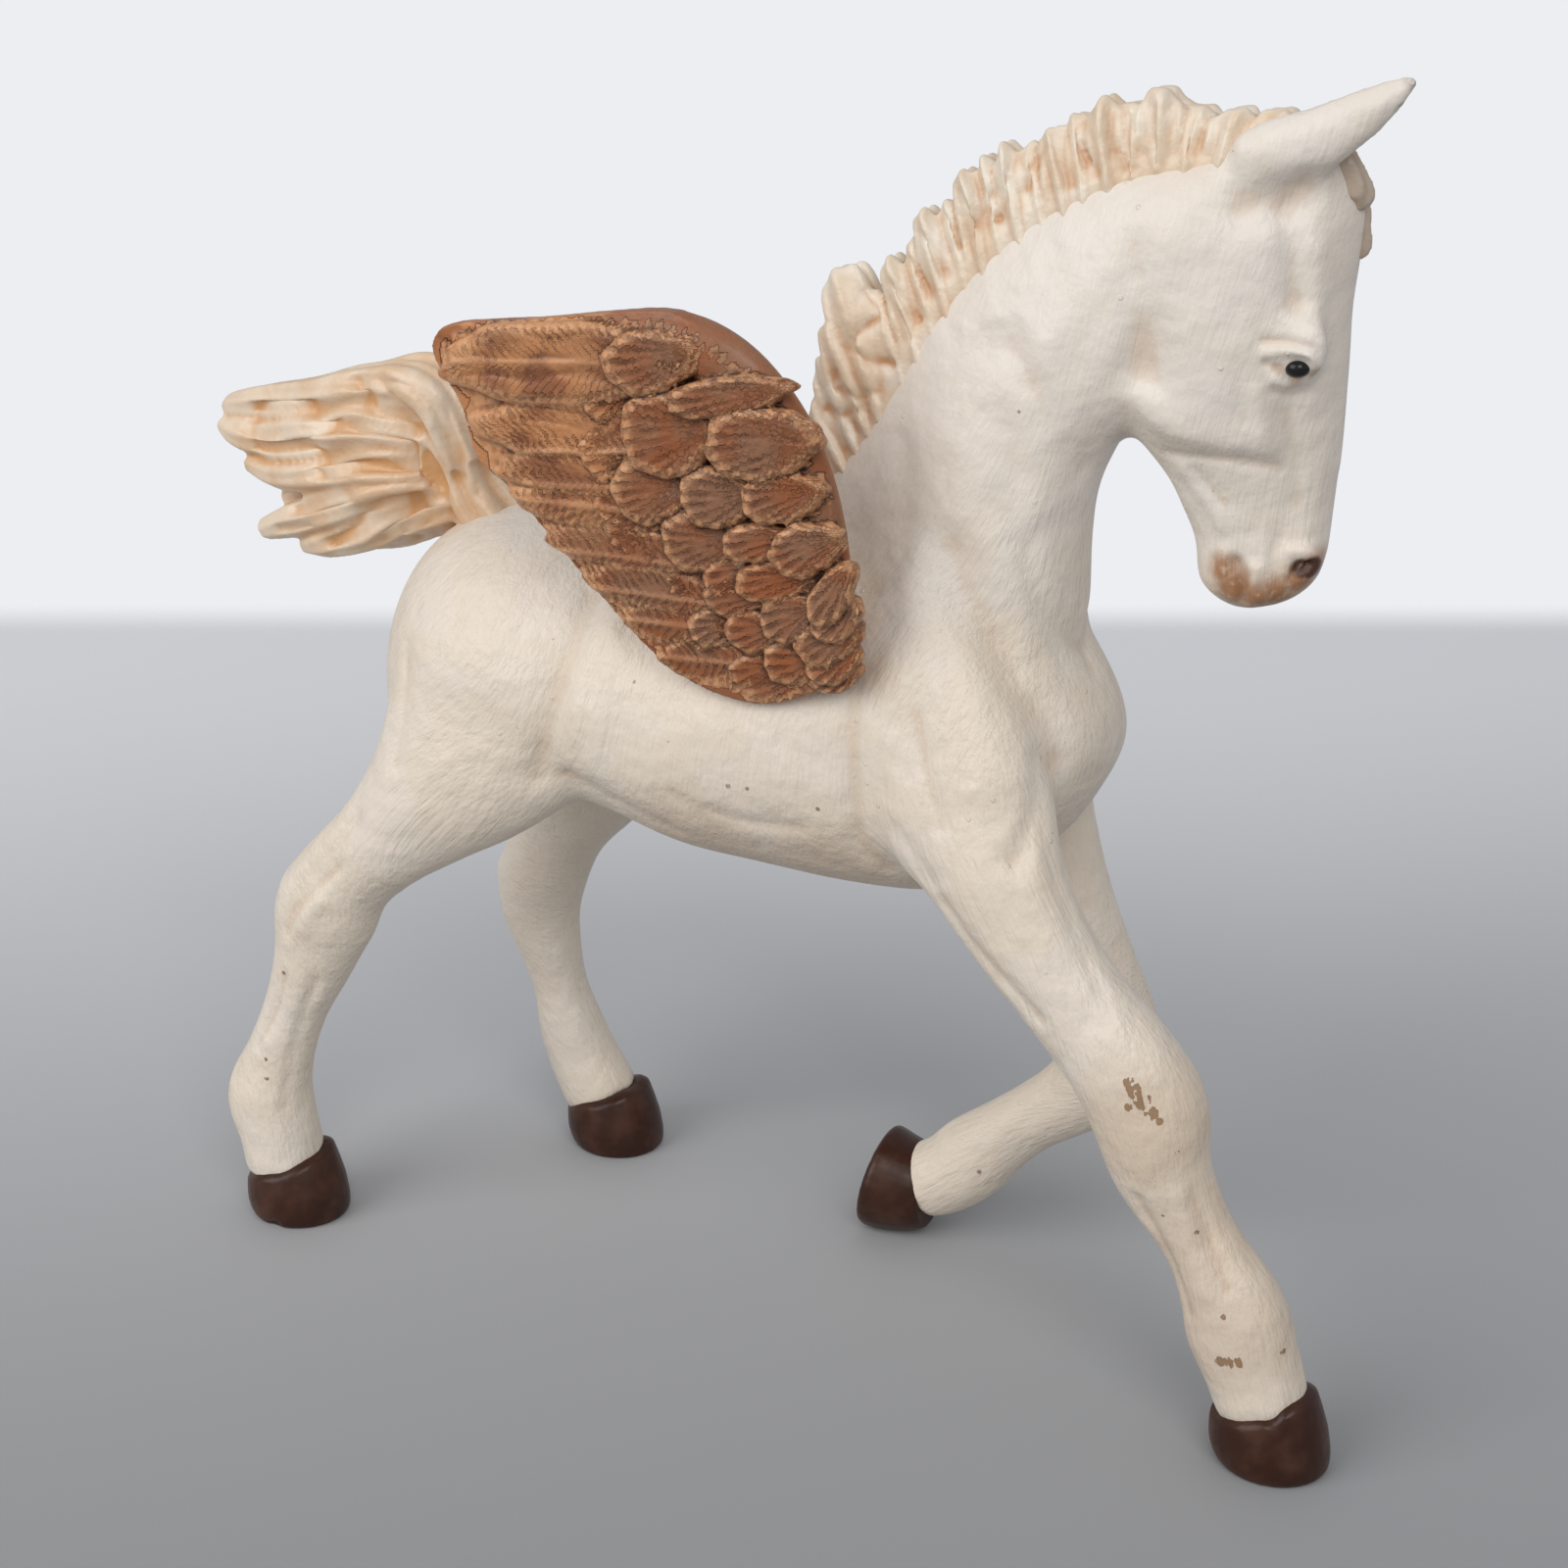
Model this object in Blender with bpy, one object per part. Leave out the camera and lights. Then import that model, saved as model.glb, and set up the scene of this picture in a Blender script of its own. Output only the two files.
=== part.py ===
"""Pegasus foal figurine: one moulded body with a carved wing on each flank, mane, forelock and tail."""
import math

import bmesh
import bpy
import numpy as np
from mathutils import Matrix, Vector
from mathutils.bvhtree import BVHTree

# Driving sizes, in metres and degrees
MM = 0.001
TORSO_HALF_WIDTH = 0.0126
NECK_HALF_WIDTH = 0.0054
HEAD_HALF_WIDTH = 0.0058
HEAD_TURN_DEG = 14.6
HEAD_PIVOT_X = 0.026
HEAD_PIVOT_Y = 0.0005
EYE_RADIUS = 0.0011
EAR_HALF_THICKNESS = 0.0014
FAR_EAR_DROP_DEG = 13.0
FAR_EAR_LENGTH = 0.82
LEG_TRACK = 0.011
LEG_GIRTH = 1.0
HOOF_HALF_LENGTH = 0.0043
HOOF_HALF_WIDTH = 0.0041
HOOF_HEIGHT = 0.0049
HOOF_TILT = 0.4
WING_ROOT_Z = 0.054
WING_LEAN = 0.15
FAR_WING_LEAN = 0.03
WING_PLATE = 0.0017
WING_ARM_HALF_THICKNESS = 0.0018
FEATHER_HALF_THICKNESS = 0.0007
FAR_WING_SWEEP_DEG = 62.0
MANE_HALF_WIDTH = 0.0024
TAIL_GIRTH = 1.0

# Making of the surface
VOXEL = 0.00045
RING_SIDES = 24
CURVE_STEPS = 5
TRIANGLE_LIMIT = 11600
BODY_SMOOTHING = 14
CARVING_FACTOR = 0.01

# Boxes where the carving keeps more triangles: name, low corner, high corner, weight
FINE_REGIONS = (
    ("near wing", (-25.0, -20.0, 50.0), (9.0, -11.0, 82.0), 0.85),
    ("mane", (-4.0, -4.5, 66.0), (34.0, 4.5, 96.0), 0.4),
    ("tail", (-58.0, -6.0, 54.0), (-31.0, 6.0, 74.0), 0.4),
    ("face", (28.0, -8.0, 58.0), (40.0, 8.0, 80.0), 0.4),
)

# Vertical rings of the trunk: top x, top z, bottom x, bottom z, share of half width, taper to the top
TRUNK = (
    (-36.4, 51.5, -36.4, 43.5, 0.30, 0.0),
    (-35.2, 56.0, -35.4, 40.0, 0.58, -0.05),
    (-31.8, 59.4, -31.8, 38.2, 0.86, -0.08),
    (-27.0, 61.2, -27.0, 38.2, 1.00, -0.10),
    (-22.0, 61.6, -22.0, 39.0, 1.00, -0.12),
    (-16.0, 60.6, -16.0, 38.0, 0.96, -0.14),
    (-9.0, 60.4, -9.5, 36.2, 0.98, -0.16),
    (-2.0, 62.6, -3.0, 35.6, 0.97, -0.18),
    (4.0, 64.2, 4.0, 35.1, 0.94, -0.18),
    (10.0, 63.8, 10.5, 35.4, 0.88, -0.14),
    (14.6, 61.0, 15.6, 37.6, 0.80, -0.05),
    (18.2, 57.4, 19.4, 41.0, 0.68, 0.0),
    (20.9, 53.8, 21.6, 44.4, 0.48, 0.0),
    (22.8, 50.6, 23.0, 47.2, 0.22, 0.0),
)

# Rings of the neck: crest x, z, throat x, z, share of half width, taper to the crest
NECK = (
    (-4.0, 62.5, 18.0, 46.0, 1.55, -0.25),
    (-0.4, 66.0, 19.6, 52.5, 1.48, -0.30),
    (2.4, 69.6, 20.0, 57.4, 1.32, -0.30),
    (5.2, 74.0, 20.0, 62.2, 1.15, -0.28),
    (7.8, 78.8, 20.5, 66.5, 1.00, -0.26),
    (11.4, 83.2, 22.2, 70.0, 0.96, -0.24),
    (16.2, 86.8, 25.0, 73.0, 0.96, -0.22),
    (22.4, 89.2, 27.5, 77.5, 0.96, -0.18),
    (28.2, 90.2, 29.0, 81.0, 0.85, -0.10),
)

# Rings of the head in its own turned plane: front s, z, back s, z, share of half width, taper to the front
HEAD = (
    (7.4, 91.0, 2.4, 91.0, 0.42, 0.0),
    (10.4, 89.6, -1.0, 89.2, 0.76, 0.0),
    (11.6, 86.8, -3.8, 86.0, 0.92, -0.06),
    (11.5, 83.0, -4.8, 81.8, 0.98, -0.08),
    (11.2, 80.0, -5.0, 78.5, 1.00, -0.10),
    (11.3, 77.0, -4.8, 75.4, 0.96, -0.12),
    (11.3, 74.0, -4.2, 72.6, 0.86, -0.14),
    (11.3, 71.5, -2.6, 70.4, 0.74, -0.10),
    (11.2, 69.0, -0.6, 68.0, 0.62, -0.06),
    (11.0, 66.0, 0.6, 65.6, 0.54, 0.0),
    (10.8, 63.4, 1.6, 63.4, 0.54, 0.0),
    (10.4, 61.6, 1.7, 61.2, 0.56, 0.0),
    (9.4, 60.3, 2.7, 59.9, 0.50, 0.0),
    (7.8, 59.4, 4.4, 58.9, 0.32, 0.0),
)

# Cheek, brow and nostril muscles: s, share of the half width, z, half sizes
HEAD_MUSCLES = (
    (0.4, 0.62, 75.4, (4.2, 1.8, 4.2)),
    (7.4, 0.74, 77.6, (2.6, 1.3, 2.2)),
    (9.2, 0.42, 63.0, (1.3, 1.0, 1.5)),
)
# Eye: s, share of the half width, z
EYE = (7.7, 0.83, 76.5)

# Stations of the legs: x, share of the track, z, half depth, half width
NEAR_FORE = (
    (6.0, 0.52, 57.0, 7.4, 3.6),
    (11.6, 0.68, 50.0, 7.6, 4.0),
    (15.2, 0.80, 44.5, 6.6, 4.2),
    (17.6, 0.88, 40.6, 5.2, 4.1),
    (20.4, 0.92, 36.6, 4.3, 3.9),
    (24.0, 0.94, 32.4, 3.9, 3.6),
    (27.5, 0.96, 28.8, 4.1, 3.8),
    (29.8, 0.97, 25.4, 4.4, 3.9),
    (30.8, 0.98, 21.6, 3.8, 3.4),
    (32.6, 0.98, 18.4, 3.2, 2.9),
    (34.4, 0.99, 15.8, 2.9, 2.7),
    (36.6, 1.00, 12.2, 3.7, 3.2),
    (37.4, 1.00, 9.9, 4.0, 3.4),
    (38.6, 1.00, 6.9, 3.6, 3.3),
    (39.6, 1.00, 4.0, 3.5, 3.4),
)
FAR_FORE = (
    (5.4, 0.52, 57.0, 7.4, 3.6),
    (9.2, 0.70, 49.5, 7.4, 4.0),
    (11.8, 0.82, 43.0, 6.0, 4.2),
    (13.8, 0.88, 37.2, 4.7, 4.0),
    (15.9, 0.92, 31.6, 4.0, 3.7),
    (18.2, 0.95, 26.0, 3.8, 3.5),
    (20.0, 0.97, 21.0, 4.0, 3.7),
    (19.9, 0.97, 17.2, 4.0, 3.6),
    (17.2, 0.94, 14.2, 3.3, 3.1),
    (14.2, 0.89, 12.0, 2.9, 2.8),
    (11.7, 0.85, 9.9, 3.1, 3.0),
    (9.5, 0.81, 7.8, 3.6, 3.2),
    (7.4, 0.78, 5.8, 3.4, 3.2),
    (4.8, 0.77, 4.6, 3.3, 3.3),
)
NEAR_HIND = (
    (-22.0, 0.56, 52.5, 9.4, 4.8),
    (-24.3, 0.70, 47.0, 9.6, 5.0),
    (-27.3, 0.80, 42.4, 7.8, 4.8),
    (-30.6, 0.87, 38.6, 5.7, 4.3),
    (-34.4, 0.93, 34.9, 4.3, 3.8),
    (-37.8, 0.97, 31.6, 4.1, 3.4),
    (-39.9, 0.99, 28.2, 4.6, 3.5),
    (-41.3, 1.00, 24.0, 3.6, 2.9),
    (-43.4, 1.01, 19.2, 2.8, 2.6),
    (-45.3, 1.02, 14.6, 3.0, 2.7),
    (-46.7, 1.02, 10.4, 3.9, 3.3),
    (-46.0, 1.02, 7.2, 3.6, 3.2),
    (-45.4, 1.02, 3.6, 3.6, 3.4),
)
FAR_HIND = (
    (-20.0, 0.56, 52.5, 10.0, 4.8),
    (-21.5, 0.70, 45.5, 9.6, 5.0),
    (-24.3, 0.82, 39.8, 7.4, 4.8),
    (-27.2, 0.90, 34.8, 5.4, 4.2),
    (-30.2, 0.95, 30.0, 4.1, 3.6),
    (-32.4, 0.98, 25.4, 4.1, 3.4),
    (-33.0, 1.00, 21.8, 3.8, 3.0),
    (-32.2, 1.01, 18.0, 3.0, 2.6),
    (-31.3, 1.02, 14.4, 2.5, 2.5),
    (-30.4, 1.02, 11.0, 3.0, 2.9),
    (-29.2, 1.04, 7.6, 3.3, 3.0),
    (-27.2, 1.05, 4.0, 3.5, 3.4),
)

# Points of the hocks: x, share of the track, z, half sizes
NEAR_HOCK = (-42.4, 0.99, 30.0, (1.7, 1.5, 2.0))
FAR_HOCK = (-35.8, 0.99, 25.0, (1.6, 1.5, 2.0))

# Wall of a hoof from under the floor plane to the coronet: share of the height, share of the sole size
HOOF_PROFILE = ((-0.12, 1.0), (0.0, 1.0), (0.35, 0.98), (0.7, 0.92), (0.92, 0.86), (1.0, 0.72))
# Standing hooves: sole x, share of the track, coronet x, toe turn in degrees
NEAR_FORE_HOOF = (40.3, 1.0, 39.4, 0.0)
NEAR_HIND_HOOF = (-44.1, 1.02, -45.2, 20.0)
FAR_HIND_HOOF = (-25.8, 1.05, -27.0, 0.0)

# Folded back fore hoof: stations from pastern to sole: x, z, half height
FOLDED_HOOF = (
    (5.8, 4.0, 3.3),
    (4.8, 4.0, 3.8),
    (2.8, 4.1, 4.3),
    (1.4, 4.3, 4.5),
    (0.9, 4.4, 4.1),
)
FOLDED_HOOF_TRACK = 0.77

# Ear in the head plane: s, z, half height, half thickness share
EAR = (
    (3.0, 89.2, 2.0, 1.1),
    (5.2, 90.0, 2.4, 1.2),
    (7.8, 90.9, 2.3, 1.1),
    (10.2, 92.3, 1.9, 0.9),
    (12.4, 93.8, 1.3, 0.7),
    (14.0, 95.0, 0.5, 0.4),
)
EAR_OFFSET = 0.0038
EAR_SPREAD = 0.10
FAR_EAR_SPREAD = -0.10

# Blade outline of the wing: x, z
WING_OUTLINE = (
    (7.0, 54.8), (7.6, 59.6), (7.2, 64.0), (6.4, 68.8), (5.0, 72.2), (2.8, 75.2), (-0.8, 78.0),
    (-4.2, 79.6), (-9.4, 79.2), (-14.2, 78.5), (-19.0, 78.0), (-22.4, 77.4), (-23.6, 75.4),
    (-21.8, 71.8), (-21.0, 68.0), (-18.4, 65.8), (-15.8, 62.8), (-11.8, 58.4), (-8.8, 55.2),
    (-5.0, 52.6), (0.0, 51.6), (4.4, 53.0),
)
# Leading arm of the wing: x, z, half width in the blade, share of the half thickness
WING_ARM = (
    (3.6, 54.0, 2.6, 1.2),
    (5.2, 58.0, 2.4, 1.2),
    (5.4, 63.5, 2.2, 1.2),
    (4.6, 68.5, 2.2, 1.15),
    (2.8, 72.6, 2.2, 1.1),
    (-0.4, 76.0, 2.2, 1.05),
    (-4.4, 77.7, 1.9, 0.95),
    (-10.0, 77.6, 1.5, 0.8),
    (-16.0, 77.0, 1.3, 0.7),
    (-21.6, 76.4, 1.2, 0.6),
)
# Long flight feathers: root x, z, tip x, z, half width, level above the blade
FLIGHT = (
    (-2.0, 76.2, -23.0, 74.9, 2.9, 1.30),
    (-3.0, 71.6, -21.2, 70.2, 2.1, 0.85),
    (-4.0, 68.2, -19.2, 67.9, 1.7, 0.45),
    (-3.0, 65.2, -18.2, 65.9, 1.7, 0.10),
    (-2.0, 62.2, -15.4, 63.0, 1.6, -0.15),
    (-1.0, 59.4, -12.4, 60.4, 1.6, -0.35),
    (-0.5, 57.0, -9.4, 57.6, 1.5, -0.50),
    (0.0, 54.6, -7.0, 54.8, 1.4, -0.70),
)
# Scale feathers: root x, z, tip x, z, half width, level above the blade at the tip
SCALES = (
    (-6.2, 63.2, -7.6, 61.6, 1.0, 0.50),
    (-3.0, 60.8, -6.2, 60.0, 1.1, 0.55),
    (-3.0, 59.4, -6.2, 58.0, 1.1, 0.45),
    (-1.0, 55.8, -4.4, 54.8, 1.1, 0.50),
    (-2.0, 57.2, -5.4, 56.0, 1.2, 0.45),
    (4.6, 54.4, -0.6, 52.6, 1.2, 0.55),
    (8.0, 55.4, 4.6, 53.8, 1.3, 0.60),
    (2.4, 54.9, -1.8, 53.6, 1.2, 0.70),
    (-5.8, 63.9, -10.6, 63.2, 1.5, 0.70),
    (-8.2, 65.9, -11.5, 65.2, 1.1, 0.75),
    (-7.4, 74.2, -11.3, 72.8, 1.7, 1.20),
    (-7.2, 70.0, -12.0, 68.6, 2.0, 1.05),
    (-0.6, 57.9, -4.6, 56.5, 1.5, 0.85),
    (5.8, 56.2, 1.0, 54.6, 1.6, 0.95),
    (2.6, 58.0, -1.7, 56.7, 1.6, 1.05),
    (0.6, 62.2, -3.0, 60.3, 1.2, 1.10),
    (-0.2, 64.0, -6.0, 63.0, 2.3, 1.15),
    (-3.6, 67.6, -9.5, 66.4, 2.5, 1.35),
    (1.6, 60.1, -3.1, 59.4, 1.5, 1.10),
    (8.6, 58.6, 4.0, 56.2, 1.7, 1.30),
    (-1.6, 77.4, -9.1, 75.2, 2.1, 1.90),
    (5.6, 59.9, 1.3, 57.8, 1.7, 1.45),
    (5.8, 62.4, -0.4, 60.5, 1.5, 1.45),
    (1.6, 67.8, -4.2, 66.3, 2.1, 1.60),
    (-0.8, 72.2, -8.3, 70.4, 2.9, 1.85),
    (4.2, 64.9, -1.0, 63.4, 1.4, 1.70),
    (8.6, 63.4, 5.4, 58.7, 1.3, 1.90),
    (6.8, 68.6, 0.9, 66.6, 1.8, 1.95),
    (5.0, 75.4, -4.1, 73.4, 1.4, 2.15),
    (8.0, 65.2, 2.8, 63.1, 1.9, 2.05),
    (6.8, 72.4, -1.4, 70.2, 2.6, 2.20),
)
# How deep the wing sits in the flank, and the feather roots under the rows before them
WING_SEAT = 0.6
FLIGHT_SINK = 0.2
SCALE_SINK = 0.9
# Muscle under the wing root: x, share of the torso half width, z, half sizes
WING_SHOULDER = (0.5, 0.76, 56.5, (6.4, 3.4, 4.4))
WING_PIVOT = (2.0, 0.0, 56.0)

# Crest fin under the mane: top x, z, base x, z
MANE_FIN = (
    (33.2, 92.4, 31.0, 87.0),
    (30.6, 92.3, 29.0, 87.0),
    (27.4, 92.2, 26.4, 87.0),
    (23.6, 92.2, 23.4, 86.5),
    (20.0, 91.4, 20.6, 85.5),
    (16.6, 90.0, 18.0, 83.5),
    (13.2, 88.0, 15.0, 81.0),
    (10.0, 85.4, 12.2, 78.0),
    (7.2, 82.0, 9.6, 74.5),
    (4.8, 78.2, 7.6, 71.0),
    (2.6, 74.0, 5.8, 68.0),
    (0.6, 69.8, 3.8, 65.0),
    (-1.2, 66.4, 2.0, 62.0),
)
MANE_FIN_TAPER = -0.3
# Mane tufts: tip x, z, root x, z, half width, side offset
TUFTS = (
    (32.6, 92.6, 30.6, 88.6, 1.5, 0.6),
    (29.6, 92.8, 28.4, 88.2, 1.6, -0.9),
    (26.8, 92.8, 26.4, 88.0, 1.5, 0.7),
    (24.2, 94.0, 24.6, 88.0, 1.6, -0.8),
    (22.2, 93.0, 22.9, 87.4, 1.3, 0.8),
    (20.2, 93.1, 21.4, 86.4, 1.4, -0.9),
    (18.4, 92.0, 20.0, 85.2, 1.3, 0.7),
    (16.6, 91.4, 18.8, 84.0, 1.3, -0.8),
    (14.8, 90.1, 17.6, 82.6, 1.3, 0.8),
    (13.2, 89.8, 16.2, 81.0, 1.3, -0.9),
    (11.8, 88.9, 15.0, 79.6, 1.2, 0.8),
    (10.3, 88.5, 13.8, 78.0, 1.3, -0.8),
    (9.0, 86.4, 12.8, 76.4, 1.2, 0.7),
    (7.4, 85.3, 11.6, 74.8, 1.3, -0.8),
    (6.3, 83.4, 10.6, 73.0, 1.2, 0.8),
    (4.9, 81.9, 9.6, 71.6, 1.3, -0.7),
    (3.8, 79.4, 8.6, 70.0, 1.3, 0.7),
    (0.8, 81.4, 5.4, 69.6, 2.1, 0.0),
    (0.2, 77.4, 4.6, 68.6, 1.6, -0.8),
    (-0.4, 74.6, 4.0, 67.0, 1.5, 0.6),
    (-0.8, 71.4, 3.0, 65.6, 1.4, -0.6),
    (-2.2, 68.4, 1.2, 64.0, 1.3, 0.0),
)
TUFT_HALF_THICKNESS = 0.0011
# Forelock strands in the head plane: root s, z, tip s, z, side offset, half width
FORELOCK = (
    (8.6, 91.0, 11.5, 86.4, -1.6, 1.0),
    (8.8, 91.2, 11.3, 83.4, -0.4, 1.1),
    (8.8, 91.2, 11.3, 84.6, 0.9, 1.0),
    (8.6, 91.0, 11.2, 86.8, 2.0, 0.9),
)
FORELOCK_HALF_THICKNESS = 0.0009

# Tail locks: x, y, z, half height, half depth
TAIL_LOCKS = (
    ((-26.8, 0.0, 57.0, 3.4, 3.4), (-30.2, 0.0, 61.4, 3.0, 3.2), (-31.9, 0.0, 65.6, 3.2, 3.4),
     (-34.4, 0.0, 68.0, 3.6, 3.6), (-38.4, 0.0, 67.4, 3.6, 3.6), (-42.4, 0.0, 65.6, 2.6, 2.6)),
    ((-30.6, -1.2, 64.0, 2.4, 2.2), (-33.6, -1.8, 69.2, 2.4, 2.2), (-38.6, -2.0, 69.6, 2.0, 2.0),
     (-44.2, -1.6, 68.2, 1.9, 1.9), (-49.6, -0.8, 67.4, 1.6, 1.7), (-53.6, 0.0, 66.8, 1.1, 1.3),
     (-55.0, 0.3, 66.4, 0.6, 0.8)),
    ((-31.4, 1.2, 64.4, 2.4, 2.2), (-34.6, 1.8, 69.6, 2.3, 2.2), (-40.0, 2.2, 69.2, 1.9, 2.0),
     (-45.6, 2.0, 67.6, 1.8, 1.8), (-50.4, 1.6, 65.6, 1.5, 1.6), (-53.8, 1.0, 64.2, 0.8, 1.0)),
    ((-34.0, -1.6, 66.2, 2.4, 2.0), (-38.8, -2.6, 66.4, 2.2, 2.0), (-44.0, -2.4, 65.4, 2.0, 1.9),
     (-49.0, -1.6, 64.4, 1.8, 1.7), (-53.0, -0.8, 64.6, 1.4, 1.4), (-55.0, -0.4, 65.2, 0.7, 0.9)),
    ((-34.0, -1.6, 63.8, 2.2, 2.0), (-39.0, -2.6, 63.4, 2.0, 2.0), (-44.0, -2.2, 62.4, 1.8, 1.8),
     (-48.6, -1.4, 61.8, 1.5, 1.6), (-52.2, -0.6, 62.2, 0.9, 1.1)),
    ((-33.6, -1.2, 62.6, 2.2, 2.0), (-38.0, -2.2, 61.4, 2.2, 2.0), (-42.6, -2.0, 59.8, 1.9, 1.8),
     (-47.4, -1.2, 58.0, 1.6, 1.6), (-51.4, -0.4, 56.6, 1.0, 1.1)),
    ((-32.6, -0.6, 61.4, 2.2, 2.0), (-36.6, -1.4, 59.6, 2.1, 2.0), (-40.6, -1.4, 57.8, 1.8, 1.8),
     (-44.6, -0.8, 56.4, 1.5, 1.5), (-47.6, 0.0, 55.6, 0.9, 1.0)),
    ((-31.6, 1.0, 62.0, 2.2, 2.2), (-36.0, 2.0, 62.6, 2.4, 2.2), (-41.0, 2.2, 62.4, 2.4, 2.2),
     (-46.0, 1.6, 60.6, 1.8, 1.8), (-50.0, 0.8, 59.0, 1.0, 1.1)),
    ((-31.6, 0.6, 60.4, 2.0, 2.0), (-35.6, 1.2, 58.8, 1.9, 2.0), (-39.4, 1.4, 57.2, 1.4, 1.6),
     (-42.4, 1.0, 56.2, 0.8, 1.0)),
    ((-34.0, 1.6, 65.0, 2.4, 2.2), (-40.0, 2.0, 65.0, 2.2, 2.0), (-45.6, 1.8, 64.4, 1.9, 1.8),
     (-50.0, 1.2, 63.8, 1.5, 1.5), (-53.0, 0.6, 64.0, 0.8, 0.9)),
    ((-34.0, 1.4, 60.6, 2.0, 2.0), (-39.0, 1.8, 59.6, 2.0, 2.0), (-43.6, 1.4, 58.6, 1.7, 1.7),
     (-47.6, 0.8, 57.6, 1.1, 1.2)),
)

# Carved lines on both flanks: radius, depth, then x, z along the line
FLANK_LINES = (
    (0.9, -0.35, ((6.8, 54.2), (7.0, 51.0), (7.3, 46.4), (7.4, 41.7), (8.9, 39.0))),
    (1.8, 0.35, ((9.6, 54.0), (10.2, 47.0), (11.0, 41.0))),
    (1.6, -0.55, ((12.6, 63.1), (14.3, 60.4), (16.0, 57.7), (18.2, 54.4), (20.4, 51.6), (21.2, 49.0))),
    (2.2, 0.55, ((10.5, 61.0), (12.6, 57.4), (15.2, 53.2), (17.0, 49.0))),
    (1.0, -0.35, ((17.7, 63.4), (18.5, 60.2), (20.0, 57.0), (21.4, 54.4))),
    (1.0, -0.45, ((20.6, 49.6), (21.2, 47.2), (20.8, 44.8), (20.0, 43.2))),
    (0.9, -0.30, ((10.7, 43.6), (12.0, 42.4), (13.7, 40.4))),
    (1.2, -0.45, ((-15.6, 56.9), (-16.0, 53.6), (-17.1, 49.2), (-18.1, 45.9), (-19.0, 43.0))),
    (1.8, 0.40, ((-13.2, 56.7), (-14.0, 50.6), (-14.8, 45.2))),
    (1.2, -0.40, ((-16.6, 43.0), (-13.0, 41.2), (-9.0, 39.8))),
    (0.9, -0.35, ((-34.6, 38.0), (-37.2, 34.4), (-40.0, 31.6), (-41.2, 29.0))),
)
# Carved lines on both sides of the neck: radius, depth, then x, z along the line
NECK_LINES = (
    (1.2, -0.35, ((20.6, 68.5), (19.0, 72.0), (17.2, 75.0), (15.6, 77.2))),
    (1.4, 0.30, ((18.0, 66.0), (17.2, 71.0), (15.6, 74.4))),
    (1.3, -0.40, ((25.4, 75.6), (24.2, 79.6), (24.0, 84.0))),
)
# Carved lines on both sides of the mane
MANE_LINES = (
    (0.45, -0.5, ((26.5, 93.2), (26.8, 90.2))),
    (0.45, -0.5, ((23.8, 92.8), (24.5, 89.4))),
    (0.45, -0.5, ((21.3, 92.1), (21.5, 90.4), (22.6, 88.8))),
    (0.45, -0.5, ((18.7, 91.7), (19.0, 90.1), (20.2, 88.5))),
    (0.45, -0.5, ((16.2, 89.9), (15.7, 88.8), (15.4, 87.2))),
    (0.45, -0.5, ((14.6, 89.7), (14.1, 87.5), (13.5, 85.2))),
    (0.45, -0.5, ((11.1, 88.5), (11.9, 86.9), (12.1, 84.9))),
    (0.45, -0.5, ((8.5, 85.3), (9.8, 84.6), (10.5, 83.1))),
    (0.45, -0.5, ((7.2, 83.9), (8.7, 83.0), (9.6, 81.5))),
    (0.45, -0.5, ((5.4, 80.2), (6.8, 79.3), (7.7, 78.0))),
    (0.50, -0.6, ((3.5, 79.5), (4.5, 78.1), (3.5, 77.0), (2.5, 75.6), (4.3, 74.9), (5.7, 74.7))),
    (0.50, -0.5, ((1.1, 73.6), (1.4, 72.6), (3.2, 72.2), (4.9, 72.8))),
    (0.50, -0.5, ((0.5, 71.1), (1.7, 70.7), (3.5, 71.4))),
)
# Carved lines on both sides of the tail, where its locks swirl round one centre
TAIL_LINES = (
    (0.8, -0.6, ((-32.6, 62.2), (-33.0, 63.0), (-34.3, 63.6), (-37.4, 63.8), (-40.7, 63.9), (-44.1, 64.3),
                 (-46.3, 64.1), (-50.4, 63.6))),
    (0.7, -0.55, ((-33.3, 63.9), (-34.6, 65.6), (-36.6, 66.3), (-40.4, 66.9), (-44.7, 67.9), (-46.9, 68.1),
                 (-48.9, 67.6), (-50.6, 66.8), (-51.4, 65.9), (-51.0, 65.3))),
    (0.7, -0.5, ((-33.9, 66.9), (-35.1, 67.7), (-36.7, 68.0), (-37.9, 68.5), (-38.3, 69.4), (-39.3, 70.4))),
    (0.7, -0.55, ((-34.7, 61.0), (-36.6, 60.8), (-38.8, 59.7), (-40.6, 58.3), (-42.4, 57.2), (-43.8, 56.3))),
    (0.6, -0.5, ((-34.4, 60.7), (-36.0, 59.5), (-37.1, 58.3), (-38.1, 56.9))),
    (0.6, -0.5, ((-33.7, 60.3), (-34.7, 59.1), (-35.9, 58.0), (-36.7, 56.6))),
    (0.7, -0.5, ((-40.4, 60.9), (-42.2, 59.9), (-44.9, 59.4), (-46.9, 59.4))),
    (0.6, -0.6, ((-41.8, 66.6), (-43.5, 65.9), (-45.6, 65.0), (-47.6, 65.4), (-50.9, 65.1))),
    (0.8, -0.6, ((-30.3, 63.3), (-30.2, 65.1), (-30.7, 67.0), (-30.9, 68.4))),
)
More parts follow.
